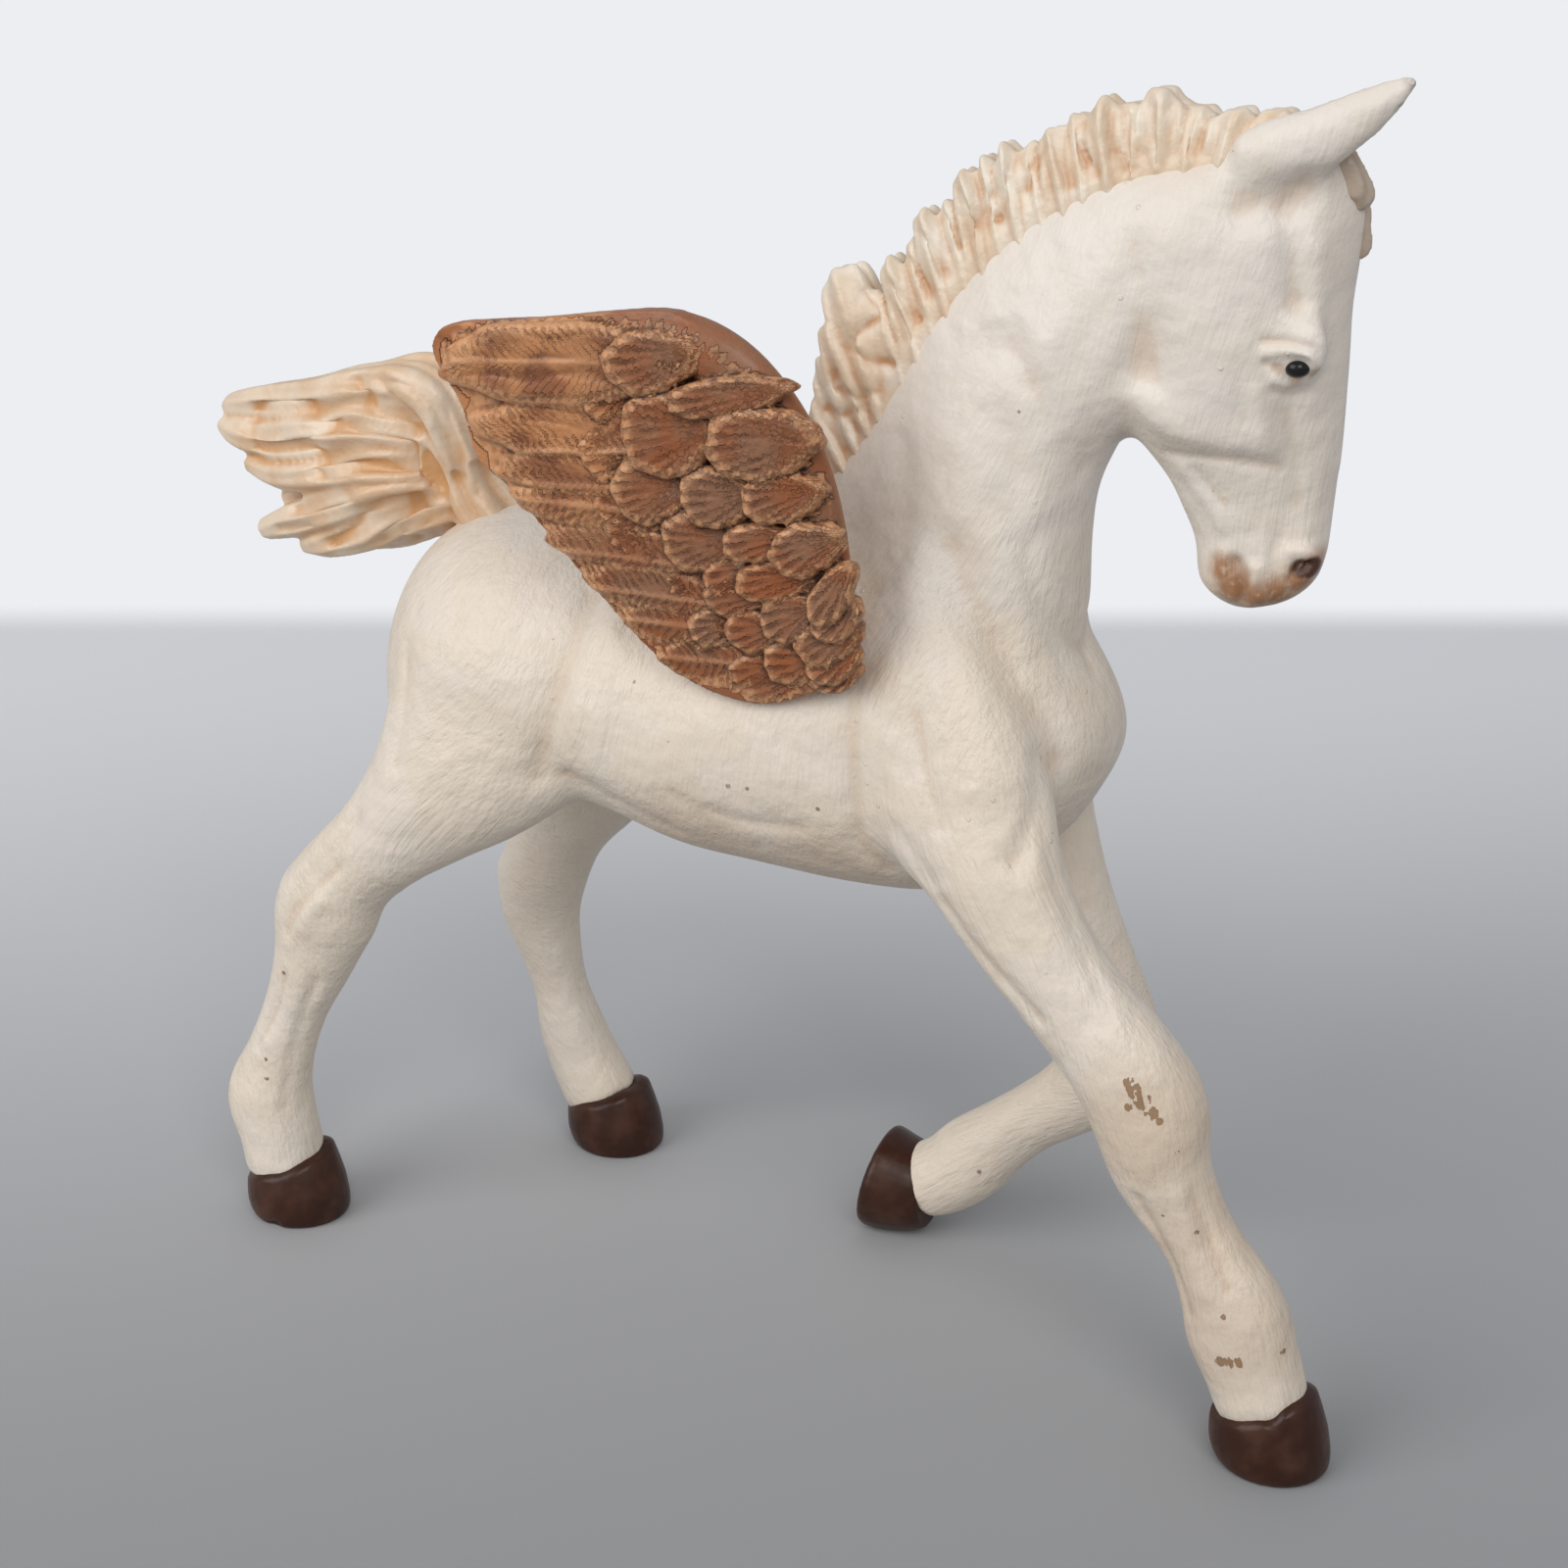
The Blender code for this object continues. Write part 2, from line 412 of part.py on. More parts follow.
# Carved lines on both sides of the head: radius, depth, then s, z along the line
HEAD_LINES = (
    (0.7, -0.55, ((-0.6, 70.0), (1.7, 70.1), (3.9, 70.1), (5.6, 69.9), (7.0, 69.5))),
    (1.4, 0.50, ((-2.4, 74.0), (-0.4, 72.2), (2.6, 71.8), (5.0, 71.6))),
    (0.7, 0.40, ((0.4, 68.9), (1.6, 67.6), (2.8, 66.4), (3.4, 65.2))),
    (0.8, 0.35, ((5.1, 74.8), (5.6, 72.9), (6.2, 70.9))),
    (1.1, -0.40, ((7.4, 73.4), (8.0, 70.4), (8.4, 67.4))),
    (1.2, -0.50, ((5.6, 87.0), (6.6, 84.0), (7.4, 81.0))),
    (0.5, -0.35, ((5.4, 78.5), (6.8, 78.6), (7.9, 78.4), (8.8, 78.0), (9.5, 77.3))),
    (0.5, 0.35, ((5.4, 77.4), (6.4, 77.8), (7.6, 77.8), (8.8, 77.3))),
    (0.5, 0.30, ((6.3, 75.7), (7.1, 75.2), (8.1, 75.2), (9.0, 75.6))),
    (0.6, -0.45, ((4.5, 62.8), (4.9, 61.9), (5.1, 60.6))),
    (0.6, 0.30, ((3.4, 63.0), (3.5, 61.8), (4.1, 60.6))),
    (0.8, -0.75, ((8.9, 63.3), (9.5, 63.5), (10.1, 63.4))),
)
RAY_START = 60.0


def clear_scene():
    for item in list(bpy.data.objects):
        bpy.data.objects.remove(item, do_unlink=True)


def curve_rows(rows, steps=CURVE_STEPS):
    """Rows of a table with rounded steps added between them."""
    table = np.array(rows, dtype=float)
    padded = np.vstack([2 * table[0] - table[1], table, 2 * table[-1] - table[-2]])
    out = []
    for i in range(1, len(padded) - 2):
        before, start, end, after = padded[i - 1:i + 3]
        for t in np.arange(steps) / steps:
            bend = 2 * before - 5 * start + 4 * end - after
            twist = 3 * start - before - 3 * end + after
            out.append(start + 0.5 * (t * (end - before) + t * t * bend + t ** 3 * twist))
    out.append(table[-1])
    return np.array(out)


def skin(bm, rings):
    """Closed tube through rings of points, with flat ends."""
    loops = [[bm.verts.new(point) for point in ring] for ring in rings]
    for lower, upper in zip(loops, loops[1:]):
        for i in range(len(lower)):
            j = (i + 1) % len(lower)
            bm.faces.new((lower[i], lower[j], upper[j], upper[i]))
    bm.faces.new(list(reversed(loops[0])))
    bm.faces.new(loops[-1])


def ring_points(centre, front, side, taper=0.0):
    angles = np.linspace(0, 2 * math.pi, RING_SIDES, endpoint=False)
    across = 1 + taper * np.cos(angles)
    return [centre + front * math.cos(a) + side * math.sin(a) * w for a, w in zip(angles, across)]


def loft(bm, rows, half_width, place=None):
    """Rings given by their two edge points in the middle plane and a share of the half width."""
    rings = []
    for xa, za, xb, zb, share, taper in curve_rows(rows):
        centre = np.array([(xa + xb) / 2, 0.0, (za + zb) / 2])
        front = np.array([(xa - xb) / 2, 0.0, (za - zb) / 2])
        side = np.array([0.0, share * half_width / MM, 0.0])
        rings.append(ring_points(centre, front, side, taper))
    if place:
        rings = [[place(point) for point in ring] for ring in rings]
    skin(bm, rings)


def limb(bm, rows, side_axis=(0.0, 1.0, 0.0)):
    """Tube along stations x, y, z, half height, half width, square to its own path."""
    table = curve_rows(rows)
    path = table[:, :3]
    tangents = np.gradient(path, axis=0)
    rings = []
    for row, tangent in zip(table, tangents):
        along = tangent / np.linalg.norm(tangent)
        side = np.array(side_axis) - along * np.dot(side_axis, along)
        side = side / np.linalg.norm(side)
        front = np.cross(side, along)
        rings.append(ring_points(row[:3], front * row[3], side * row[4]))
    skin(bm, rings)


def petal(bm, root, tip, normal, half_width, half_thickness):
    """Leaf from root to tip: narrow at the root, broad and round at the tip."""
    root = np.array(root, dtype=float)
    tip = np.array(tip, dtype=float)
    along = tip - root
    length = np.linalg.norm(along)
    along = along / length
    normal = np.array(normal, dtype=float)
    normal = normal - along * np.dot(normal, along)
    normal = normal / np.linalg.norm(normal)
    across = np.cross(normal, along)
    ball = bmesh.ops.create_icosphere(bm, subdivisions=3, radius=1.0)
    for vert in ball["verts"]:
        x, y, z = vert.co
        broad = half_width * (1.0 + 0.25 * x)
        flat = math.copysign(min(1.0, 1.5 * abs(z)) ** 0.6, z)
        vert.co = Vector((root + tip) / 2 + along * x * length / 2 + across * y * broad
                         + normal * flat * half_thickness)


def ball(bm, centre, sizes):
    matrix = Matrix.Translation(Vector(centre)) @ Matrix.Diagonal(Vector((*sizes, 1.0)))
    bmesh.ops.create_icosphere(bm, subdivisions=3, radius=1.0, matrix=matrix)


def head_place(point):
    """From the head's own turned plane to the figure."""
    turn = math.radians(HEAD_TURN_DEG)
    s, t, z = point
    x = HEAD_PIVOT_X / MM + s * math.cos(turn) - t * math.sin(turn)
    y = HEAD_PIVOT_Y / MM + s * math.sin(turn) + t * math.cos(turn)
    return np.array([x, y, z])


def trunk(bm):
    loft(bm, TRUNK, TORSO_HALF_WIDTH)
    loft(bm, NECK, NECK_HALF_WIDTH)


def head(bm):
    loft(bm, HEAD, HEAD_HALF_WIDTH, head_place)
    for side in (-1, 1):
        for s, share, z, sizes in HEAD_MUSCLES:
            ball(bm, head_place((s, side * share * HEAD_HALF_WIDTH / MM, z)), sizes)
        ear(bm, side)


def eyes(bm):
    eye = EYE_RADIUS / MM
    s, share, z = EYE
    for side in (-1, 1):
        ball(bm, head_place((s, side * share * HEAD_HALF_WIDTH / MM, z)), (eye, eye, eye))


def ear(bm, side):
    root_s, root_z = EAR[0][:2]
    far = side > 0
    drop = math.radians(FAR_EAR_DROP_DEG) if far else 0.0
    length = FAR_EAR_LENGTH if far else 1.0
    spread = FAR_EAR_SPREAD if far else EAR_SPREAD
    rows = []
    for s, z, half_height, share in EAR:
        out = (s - root_s) * length
        up = z - root_z
        lowered_s = root_s + out * math.cos(drop) + up * math.sin(drop)
        lowered_z = root_z + up * math.cos(drop) - out * math.sin(drop)
        point = head_place((lowered_s, side * (EAR_OFFSET / MM + out * spread), lowered_z))
        rows.append((*point, half_height, share * EAR_HALF_THICKNESS / MM))
    limb(bm, rows)


def leg(bm, rows, side):
    track = side * LEG_TRACK / MM
    limb(bm, [(x, share * track, z, a * LEG_GIRTH, b * LEG_GIRTH) for x, share, z, a, b in rows])


def standing_hoof(bm, spec, side):
    sole_x, share, coronet_x, turn_deg = spec
    y = share * side * LEG_TRACK / MM
    turn = math.radians(turn_deg)
    toe = np.array([math.cos(turn), math.sin(turn), 0.0])
    across = np.array([-math.sin(turn), math.cos(turn), 0.0])
    length = HOOF_HALF_LENGTH / MM
    width = HOOF_HALF_WIDTH / MM
    height = HOOF_HEIGHT / MM
    rings = []
    for up, grow in HOOF_PROFILE:
        centre = np.array([sole_x + (coronet_x - sole_x) * max(up, 0.0), y, up * height])
        ring = ring_points(centre, toe * length * grow, across * width * grow)
        tilt = max(up, 0.0) * HOOF_TILT
        rings.append([point + np.array([0, 0, 1.0]) * tilt * np.dot(point - centre, toe) for point in ring])
    skin(bm, rings)


def folded_hoof(bm, side):
    y = FOLDED_HOOF_TRACK * side * LEG_TRACK / MM
    width = HOOF_HALF_WIDTH / MM
    rows = [(x, y, z, half, width * half / FOLDED_HOOF[2][2]) for x, z, half in FOLDED_HOOF]
    limb(bm, rows)


def legs(bm):
    leg(bm, NEAR_FORE, -1)
    leg(bm, FAR_FORE, 1)
    leg(bm, NEAR_HIND, -1)
    leg(bm, FAR_HIND, 1)
    for (x, share, z, sizes), side in ((NEAR_HOCK, -1), (FAR_HOCK, 1)):
        ball(bm, (x, share * side * LEG_TRACK / MM, z), sizes)


def hooves(bm):
    standing_hoof(bm, NEAR_FORE_HOOF, -1)
    standing_hoof(bm, NEAR_HIND_HOOF, -1)
    standing_hoof(bm, FAR_HIND_HOOF, 1)
    folded_hoof(bm, 1)


def wing_point(x, z, level, lean):
    """Point of the near wing blade, raised by its level above the outer face."""
    root_z = WING_ROOT_Z / MM
    y = -(TORSO_HALF_WIDTH / MM - WING_SEAT + lean * (z - root_z))
    return np.array([x, y - level, z])


def wing_blade(bm, lean):
    outline = curve_rows(WING_OUTLINE + WING_OUTLINE[:1], 3)[:-1]
    half = WING_PLATE / MM / 2
    skin(bm, [[wing_point(x, z, level, lean) for x, z in outline] for level in (-half, half)])


def wing_feathers(bm, lean, normal):
    leaf = FEATHER_HALF_THICKNESS / MM
    for x0, z0, x1, z1, half_width, level in FLIGHT:
        root = wing_point(x0, z0, level - FLIGHT_SINK, lean)
        petal(bm, root, wing_point(x1, z1, level, lean), normal, half_width, leaf)
    for x0, z0, x1, z1, half_width, level in SCALES:
        root = wing_point(x0, z0, level - SCALE_SINK, lean)
        petal(bm, root, wing_point(x1, z1, level, lean), normal, half_width, leaf)


def wing(lean=WING_LEAN, sweep_deg=0.0, side=-1):
    """One wing as its own mesh, mirrored and swept about its root for the far side."""
    bm = bmesh.new()
    normal = (0.0, -1.0, -lean)
    thick = WING_ARM_HALF_THICKNESS / MM
    wing_blade(bm, lean)
    limb(bm, [(*wing_point(x, z, 0.0, lean), a, share * thick) for x, z, a, share in WING_ARM], normal)
    wing_feathers(bm, lean, normal)
    x, share, z, sizes = WING_SHOULDER
    ball(bm, (x, -share * TORSO_HALF_WIDTH / MM, z), sizes)
    pivot = Vector(WING_PIVOT)
    turn = Matrix.Rotation(math.radians(-sweep_deg), 4, "Y")
    mirror = Matrix.Diagonal(Vector((1.0, -side, 1.0, 1.0)))
    bm.transform(mirror @ Matrix.Translation(pivot) @ turn @ Matrix.Translation(-pivot))
    return bm


def mane(bm):
    half = MANE_HALF_WIDTH / MM
    rows = [(xa, za, xb, zb, 1.0, MANE_FIN_TAPER) for xa, za, xb, zb in MANE_FIN]
    loft(bm, rows, MANE_HALF_WIDTH)
    for x1, z1, x0, z0, half_width, offset in TUFTS:
        for side in (-1, 1):
            root = (x0, side * half * 0.75, z0)
            tip = (x1, side * half * 0.3 + offset * 0.3, z1)
            petal(bm, root, tip, (0.0, 1.0, 0.0), half_width, TUFT_HALF_THICKNESS / MM)


def forelock(bm):
    turn = math.radians(HEAD_TURN_DEG)
    normal = (math.cos(turn), math.sin(turn), 0.0)
    for s0, z0, s1, z1, offset, half_width in FORELOCK:
        root = head_place((s0, offset, z0))
        tip = head_place((s1, offset, z1))
        petal(bm, root, tip, normal, half_width, FORELOCK_HALF_THICKNESS / MM)


def tail(bm):
    for lock in TAIL_LOCKS:
        limb(bm, [(x, y, z, a * TAIL_GIRTH, b * TAIL_GIRTH) for x, y, z, a, b in lock])


def mesh_object(name, bm):
    mesh = bpy.data.meshes.new(name)
    bm.to_mesh(mesh)
    bm.free()
    item = bpy.data.objects.new(name, mesh)
    bpy.context.scene.collection.objects.link(item)
    return item


def soft_body():
    """Trunk, head and legs fused and rounded off, without the crisp carving."""
    bm = bmesh.new()
    for build in (trunk, head, legs):
        build(bm)
    bmesh.ops.recalc_face_normals(bm, faces=bm.faces)
    item = mesh_object("figurine", bm)
    bake(item, "REMESH", {"mode": "VOXEL", "voxel_size": VOXEL / MM})
    bake(item, "SMOOTH", {"factor": 0.5, "iterations": BODY_SMOOTHING})
    return item


def add_carving(item):
    """Hooves, eyes, hair and wings joined to the soft body and fused with it."""
    whole = bmesh.new()
    for build in (hooves, eyes, mane, forelock, tail):
        build(whole)
    for part in (wing(), wing(FAR_WING_LEAN, FAR_WING_SWEEP_DEG, 1)):
        mesh = bpy.data.meshes.new("wing_solid")
        part.to_mesh(mesh)
        part.free()
        whole.from_mesh(mesh)
        bpy.data.meshes.remove(mesh)
    bmesh.ops.recalc_face_normals(whole, faces=whole.faces)
    whole.from_mesh(item.data)
    whole.to_mesh(item.data)
    whole.free()
    bake(item, "REMESH", {"mode": "VOXEL", "voxel_size": VOXEL / MM})
    bake(item, "SMOOTH", {"factor": 0.5, "iterations": 1})


def bake(item, kind, settings):
    """Apply one modifier and keep its result as the mesh."""
    modifier = item.modifiers.new("step", kind)
    for key, value in settings.items():
        setattr(modifier, key, value)
    graph = bpy.context.evaluated_depsgraph_get()
    graph.update()
    mesh = bpy.data.meshes.new_from_object(item.evaluated_get(graph))
    item.modifiers.clear()
    old = item.data
    item.data = mesh
    bpy.data.meshes.remove(old)


def surface_hit(tree, x, z, side):
    start = Vector((x, side * RAY_START, z))
    hit = tree.ray_cast(start, Vector((0.0, -side, 0.0)))[0]
    return np.array(hit if hit else start)


def head_hit(tree, s, z, side):
    start = Vector(head_place((s, side * RAY_START, z)))
    turn = math.radians(HEAD_TURN_DEG)
    hit = tree.ray_cast(start, Vector((math.sin(turn) * side, -math.cos(turn) * side, 0.0)))[0]
    return np.array(hit if hit else start)


def stroke_weights(points, line, radius):
    """How near each point lies to a line, one on the line and fading to nothing."""
    nearest = np.full(len(points), np.inf)
    for start, end in zip(line, line[1:]):
        span = end - start
        t = np.clip((points - start) @ span / max(span @ span, 1e-9), 0, 1)
        nearest = np.minimum(nearest, np.linalg.norm(points - start - t[:, None] * span, axis=1))
    return np.exp(-(nearest / radius) ** 2)


def carve(item):
    """Muscle grooves, eyelids, jaw lines and nostrils pressed into the fused surface."""
    mesh = item.data
    count = len(mesh.vertices)
    points = np.empty(count * 3)
    mesh.vertices.foreach_get("co", points)
    points = points.reshape(-1, 3)
    normals = np.array([tuple(vert.normal) for vert in mesh.vertices])
    tree = BVHTree.FromPolygons([tuple(p) for p in points], [tuple(f.vertices) for f in mesh.polygons])
    move = np.zeros(count)
    for side in (-1, 1):
        for radius, depth, line in FLANK_LINES + NECK_LINES + MANE_LINES + TAIL_LINES:
            path = [surface_hit(tree, x, z, side) for x, z in line]
            move += depth * stroke_weights(points, path, radius)
        for radius, depth, line in HEAD_LINES:
            path = [head_hit(tree, s, z, side) for s, z in line]
            move += depth * stroke_weights(points, path, radius)
    points = points + normals * move[:, None]
    mesh.vertices.foreach_set("co", points.ravel())
    mesh.update()


def flat_soles(item):
    """Everything under the floor plane goes, the openings close flat."""
    bm = bmesh.new()
    bm.from_mesh(item.data)
    cut = bmesh.ops.bisect_plane(
        bm, geom=bm.verts[:] + bm.edges[:] + bm.faces[:],
        plane_co=(0, 0, 0), plane_no=(0, 0, 1), clear_inner=True)
    edges = [e for e in cut["geom_cut"] if isinstance(e, bmesh.types.BMEdge)]
    bmesh.ops.edgenet_fill(bm, edges=edges)
    bmesh.ops.triangulate(bm, faces=bm.faces[:])
    bmesh.ops.recalc_face_normals(bm, faces=bm.faces[:])
    bm.to_mesh(item.data)
    bm.free()


def to_row_frame(item):
    """Millimetres to metres, bottom centre of the bounding box at the origin."""
    mesh = item.data
    points = np.empty(len(mesh.vertices) * 3)
    mesh.vertices.foreach_get("co", points)
    points = points.reshape(-1, 3)
    low = points.min(axis=0)
    high = points.max(axis=0)
    middle = np.array([(low[0] + high[0]) / 2, (low[1] + high[1]) / 2, low[2]])
    mesh.vertices.foreach_set("co", ((points - middle) * MM).ravel())
    mesh.update()


def paint(item):
    material = bpy.data.materials.new("satin_painted_plastic")
    material.use_nodes = True
    shader = material.node_tree.nodes["Principled BSDF"]
    shader.inputs["Base Color"].default_value = (0.80, 0.72, 0.62, 1.0)
    shader.inputs["Roughness"].default_value = 0.5
    item.data.materials.append(material)


def keep_carving(item):
    """Weights that keep more triangles on wings, mane, tail and face."""
    group = item.vertex_groups.new(name="carving")
    for name, low, high, weight in FINE_REGIONS:
        inside = [v.index for v in item.data.vertices if all(a <= c <= b for a, c, b in zip(low, v.co, high))]
        group.add(inside, weight, "REPLACE")


def thin_out(item):
    faces = sum(len(face.vertices) - 2 for face in item.data.polygons)
    bake(item, "TRIANGULATE", {})
    keep_carving(item)
    ratio = min(1.0, TRIANGLE_LIMIT / faces)
    bake(item, "DECIMATE", {"ratio": ratio, "vertex_group": "carving", "invert_vertex_group": True,
                            "vertex_group_factor": CARVING_FACTOR})
    item.vertex_groups.clear()


def figurine():
    item = soft_body()
    add_carving(item)
    carve(item)
    thin_out(item)
    flat_soles(item)
    to_row_frame(item)
    paint(item)
    return item


clear_scene()
figurine()
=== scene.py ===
import math

import bpy
import bmesh
import numpy as np
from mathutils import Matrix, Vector
from mathutils.kdtree import KDTree


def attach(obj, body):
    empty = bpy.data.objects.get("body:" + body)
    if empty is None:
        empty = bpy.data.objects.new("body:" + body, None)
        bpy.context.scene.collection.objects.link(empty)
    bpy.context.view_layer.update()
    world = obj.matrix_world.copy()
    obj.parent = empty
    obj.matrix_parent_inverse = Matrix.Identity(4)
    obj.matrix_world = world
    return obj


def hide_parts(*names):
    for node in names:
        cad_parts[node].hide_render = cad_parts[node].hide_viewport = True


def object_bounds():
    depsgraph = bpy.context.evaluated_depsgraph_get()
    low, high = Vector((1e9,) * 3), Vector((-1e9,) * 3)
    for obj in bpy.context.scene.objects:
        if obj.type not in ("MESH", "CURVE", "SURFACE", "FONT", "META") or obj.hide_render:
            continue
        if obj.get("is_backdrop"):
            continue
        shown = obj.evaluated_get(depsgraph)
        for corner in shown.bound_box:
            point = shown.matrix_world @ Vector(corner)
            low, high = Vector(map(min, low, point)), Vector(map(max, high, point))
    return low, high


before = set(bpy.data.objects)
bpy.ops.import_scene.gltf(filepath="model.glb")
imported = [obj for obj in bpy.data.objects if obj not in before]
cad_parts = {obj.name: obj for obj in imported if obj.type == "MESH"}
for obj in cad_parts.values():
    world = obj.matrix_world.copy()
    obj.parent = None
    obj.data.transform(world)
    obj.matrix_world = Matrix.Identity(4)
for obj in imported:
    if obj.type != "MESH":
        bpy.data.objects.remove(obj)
cad_low, cad_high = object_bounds()

# Body
# Trunk, neck, head, ears and legs of the foal, cast in one with the rest of the figurine in hard
# plastic. The forms are lofted from measured rings in millimetres, pressed into one skin,
# rounded off, and then the muscle lines, eyelids and nostrils are cut in with a modelling tool.
MM = 0.001
FIGURE_SHIFT = (5.284, 1.093, 0.0)
TORSO_HALF_WIDTH = 12.6
NECK_HALF_WIDTH = 5.4
HEAD_HALF_WIDTH = 5.8
HEAD_TURN = math.radians(14.6)
HEAD_PIVOT = np.array([26.0, 0.5, 0.0])
LEG_TRACK = 11.0
RING_SIDES = 28
CURVE_STEPS = 6
LINE_STEPS = 3
STROKE_REACH = 3
BODY_VOXEL = 0.405
BODY_ROUNDS = 22

# Rings of the trunk: top x, z, bottom x, z, share of the half width, taper to the top
TRUNK = (
    (-36.4, 51.5, -36.4, 43.5, 0.3, 0.0), (-35.2, 56.0, -35.4, 40.0, 0.58, -0.05),
    (-31.8, 59.4, -31.8, 38.2, 0.86, -0.08), (-27.0, 61.2, -27.0, 38.2, 1.0, -0.1),
    (-22.0, 61.6, -22.0, 39.0, 1.0, -0.12), (-16.0, 60.6, -16.0, 38.0, 0.96, -0.14),
    (-9.0, 60.4, -9.5, 36.2, 0.98, -0.16), (-2.0, 62.6, -3.0, 35.6, 0.97, -0.18),
    (4.0, 64.2, 4.0, 35.1, 0.94, -0.18), (10.0, 63.8, 10.5, 35.4, 0.88, -0.14),
    (14.6, 61.0, 15.6, 37.6, 0.8, -0.05), (18.2, 57.4, 19.4, 41.0, 0.68, 0.0),
    (20.9, 53.8, 21.6, 44.4, 0.48, 0.0), (22.8, 50.6, 23.0, 47.2, 0.22, 0.0),
)
# Rings of the neck: crest x, z, throat x, z, share of the half width, taper to the crest
NECK = (
    (-4.0, 62.5, 18.0, 46.0, 1.55, -0.25), (-0.4, 66.0, 19.6, 52.5, 1.48, -0.3),
    (2.4, 69.6, 20.0, 57.4, 1.32, -0.3), (5.2, 74.0, 20.0, 62.2, 1.15, -0.28),
    (7.8, 78.8, 20.5, 66.5, 1.0, -0.26), (11.4, 83.2, 22.2, 70.0, 0.96, -0.24),
    (16.2, 86.8, 25.0, 73.0, 0.96, -0.22), (22.4, 89.2, 27.5, 77.5, 0.96, -0.18),
    (28.2, 90.2, 29.0, 81.0, 0.85, -0.1),
)
# Rings of the head in its own turned plane: front s, z, back s, z, share of the half width, taper
HEAD = (
    (7.4, 91.0, 2.4, 91.0, 0.42, 0.0), (10.4, 89.6, -1.0, 89.2, 0.76, 0.0),
    (11.6, 86.8, -3.8, 86.0, 0.92, -0.06), (11.5, 83.0, -4.8, 81.8, 0.98, -0.08),
    (11.2, 80.0, -5.0, 78.5, 1.0, -0.1), (11.3, 77.0, -4.8, 75.4, 0.96, -0.12),
    (11.3, 74.0, -4.2, 72.6, 0.86, -0.14), (11.3, 71.5, -2.6, 70.4, 0.74, -0.1),
    (11.2, 69.0, -0.6, 68.0, 0.62, -0.06), (11.0, 66.0, 0.6, 65.6, 0.54, 0.0),
    (10.8, 63.4, 1.6, 63.4, 0.54, 0.0), (10.4, 61.6, 1.7, 61.2, 0.56, 0.0),
    (9.4, 60.3, 2.7, 59.9, 0.5, 0.0), (7.8, 59.4, 4.4, 58.9, 0.32, 0.0),
)
# Stations of the legs: x, share of the track, z, half depth, half width
NEAR_FORE = (
    (6.0, 0.52, 57.0, 7.4, 3.6), (11.6, 0.68, 50.0, 7.6, 4.0), (15.2, 0.8, 44.5, 6.6, 4.2),
    (17.6, 0.88, 40.6, 5.2, 4.1), (20.4, 0.92, 36.6, 4.3, 3.9), (24.0, 0.94, 32.4, 3.9, 3.6),
    (27.5, 0.96, 28.8, 4.1, 3.8), (29.8, 0.97, 25.4, 4.4, 3.9), (30.8, 0.98, 21.6, 3.8, 3.4),
    (32.6, 0.98, 18.4, 3.2, 2.9), (34.4, 0.99, 15.8, 2.9, 2.7), (36.6, 1.0, 12.2, 3.7, 3.2),
    (37.4, 1.0, 9.9, 4.0, 3.4), (38.6, 1.0, 6.9, 3.6, 3.3), (39.6, 1.0, 4.0, 3.5, 3.4),
)
FAR_FORE = (
    (5.4, 0.52, 57.0, 7.4, 3.6), (9.2, 0.7, 49.5, 7.4, 4.0), (11.8, 0.82, 43.0, 6.0, 4.2),
    (13.8, 0.88, 37.2, 4.7, 4.0), (15.9, 0.92, 31.6, 4.0, 3.7), (18.2, 0.95, 26.0, 3.8, 3.5),
    (20.0, 0.97, 21.0, 4.0, 3.7), (19.9, 0.97, 17.2, 4.0, 3.6), (17.2, 0.94, 14.2, 3.3, 3.1),
    (14.2, 0.89, 12.0, 2.9, 2.8), (11.7, 0.85, 9.9, 3.1, 3.0), (9.5, 0.81, 7.8, 3.6, 3.2),
    (7.4, 0.78, 5.8, 3.4, 3.2), (4.8, 0.77, 4.6, 3.3, 3.3),
)
NEAR_HIND = (
    (-22.0, 0.56, 52.5, 9.4, 4.8), (-24.3, 0.7, 47.0, 9.6, 5.0), (-27.3, 0.8, 42.4, 7.8, 4.8),
    (-30.6, 0.87, 38.6, 5.7, 4.3), (-34.4, 0.93, 34.9, 4.3, 3.8), (-37.8, 0.97, 31.6, 4.1, 3.4),
    (-39.9, 0.99, 28.2, 4.6, 3.5), (-41.3, 1.0, 24.0, 3.6, 2.9), (-43.4, 1.01, 19.2, 2.8, 2.6),
    (-45.3, 1.02, 14.6, 3.0, 2.7), (-46.7, 1.02, 10.4, 3.9, 3.3), (-46.0, 1.02, 7.2, 3.6, 3.2),
    (-45.4, 1.02, 3.6, 3.6, 3.4),
)
FAR_HIND = (
    (-20.0, 0.56, 52.5, 10.0, 4.8), (-21.5, 0.7, 45.5, 9.6, 5.0), (-24.3, 0.82, 39.8, 7.4, 4.8),
    (-27.2, 0.9, 34.8, 5.4, 4.2), (-30.2, 0.95, 30.0, 4.1, 3.6), (-32.4, 0.98, 25.4, 4.1, 3.4),
    (-33.0, 1.0, 21.8, 3.8, 3.0), (-32.2, 1.01, 18.0, 3.0, 2.6), (-31.3, 1.02, 14.4, 2.5, 2.5),
    (-30.4, 1.02, 11.0, 3.0, 2.9), (-29.2, 1.04, 7.6, 3.3, 3.0), (-27.2, 1.05, 4.0, 3.5, 3.4),
)
# Ear in the head plane: s, z, half height, half thickness
EAR = (
    (3.0, 89.2, 2.0, 1.54), (5.2, 90.0, 2.4, 1.68), (7.8, 90.9, 2.3, 1.54), (10.2, 92.3, 1.9, 1.26),
    (12.4, 93.8, 1.3, 0.98), (14.0, 95.0, 0.5, 0.56),
)
EAR_OFFSET = 3.8
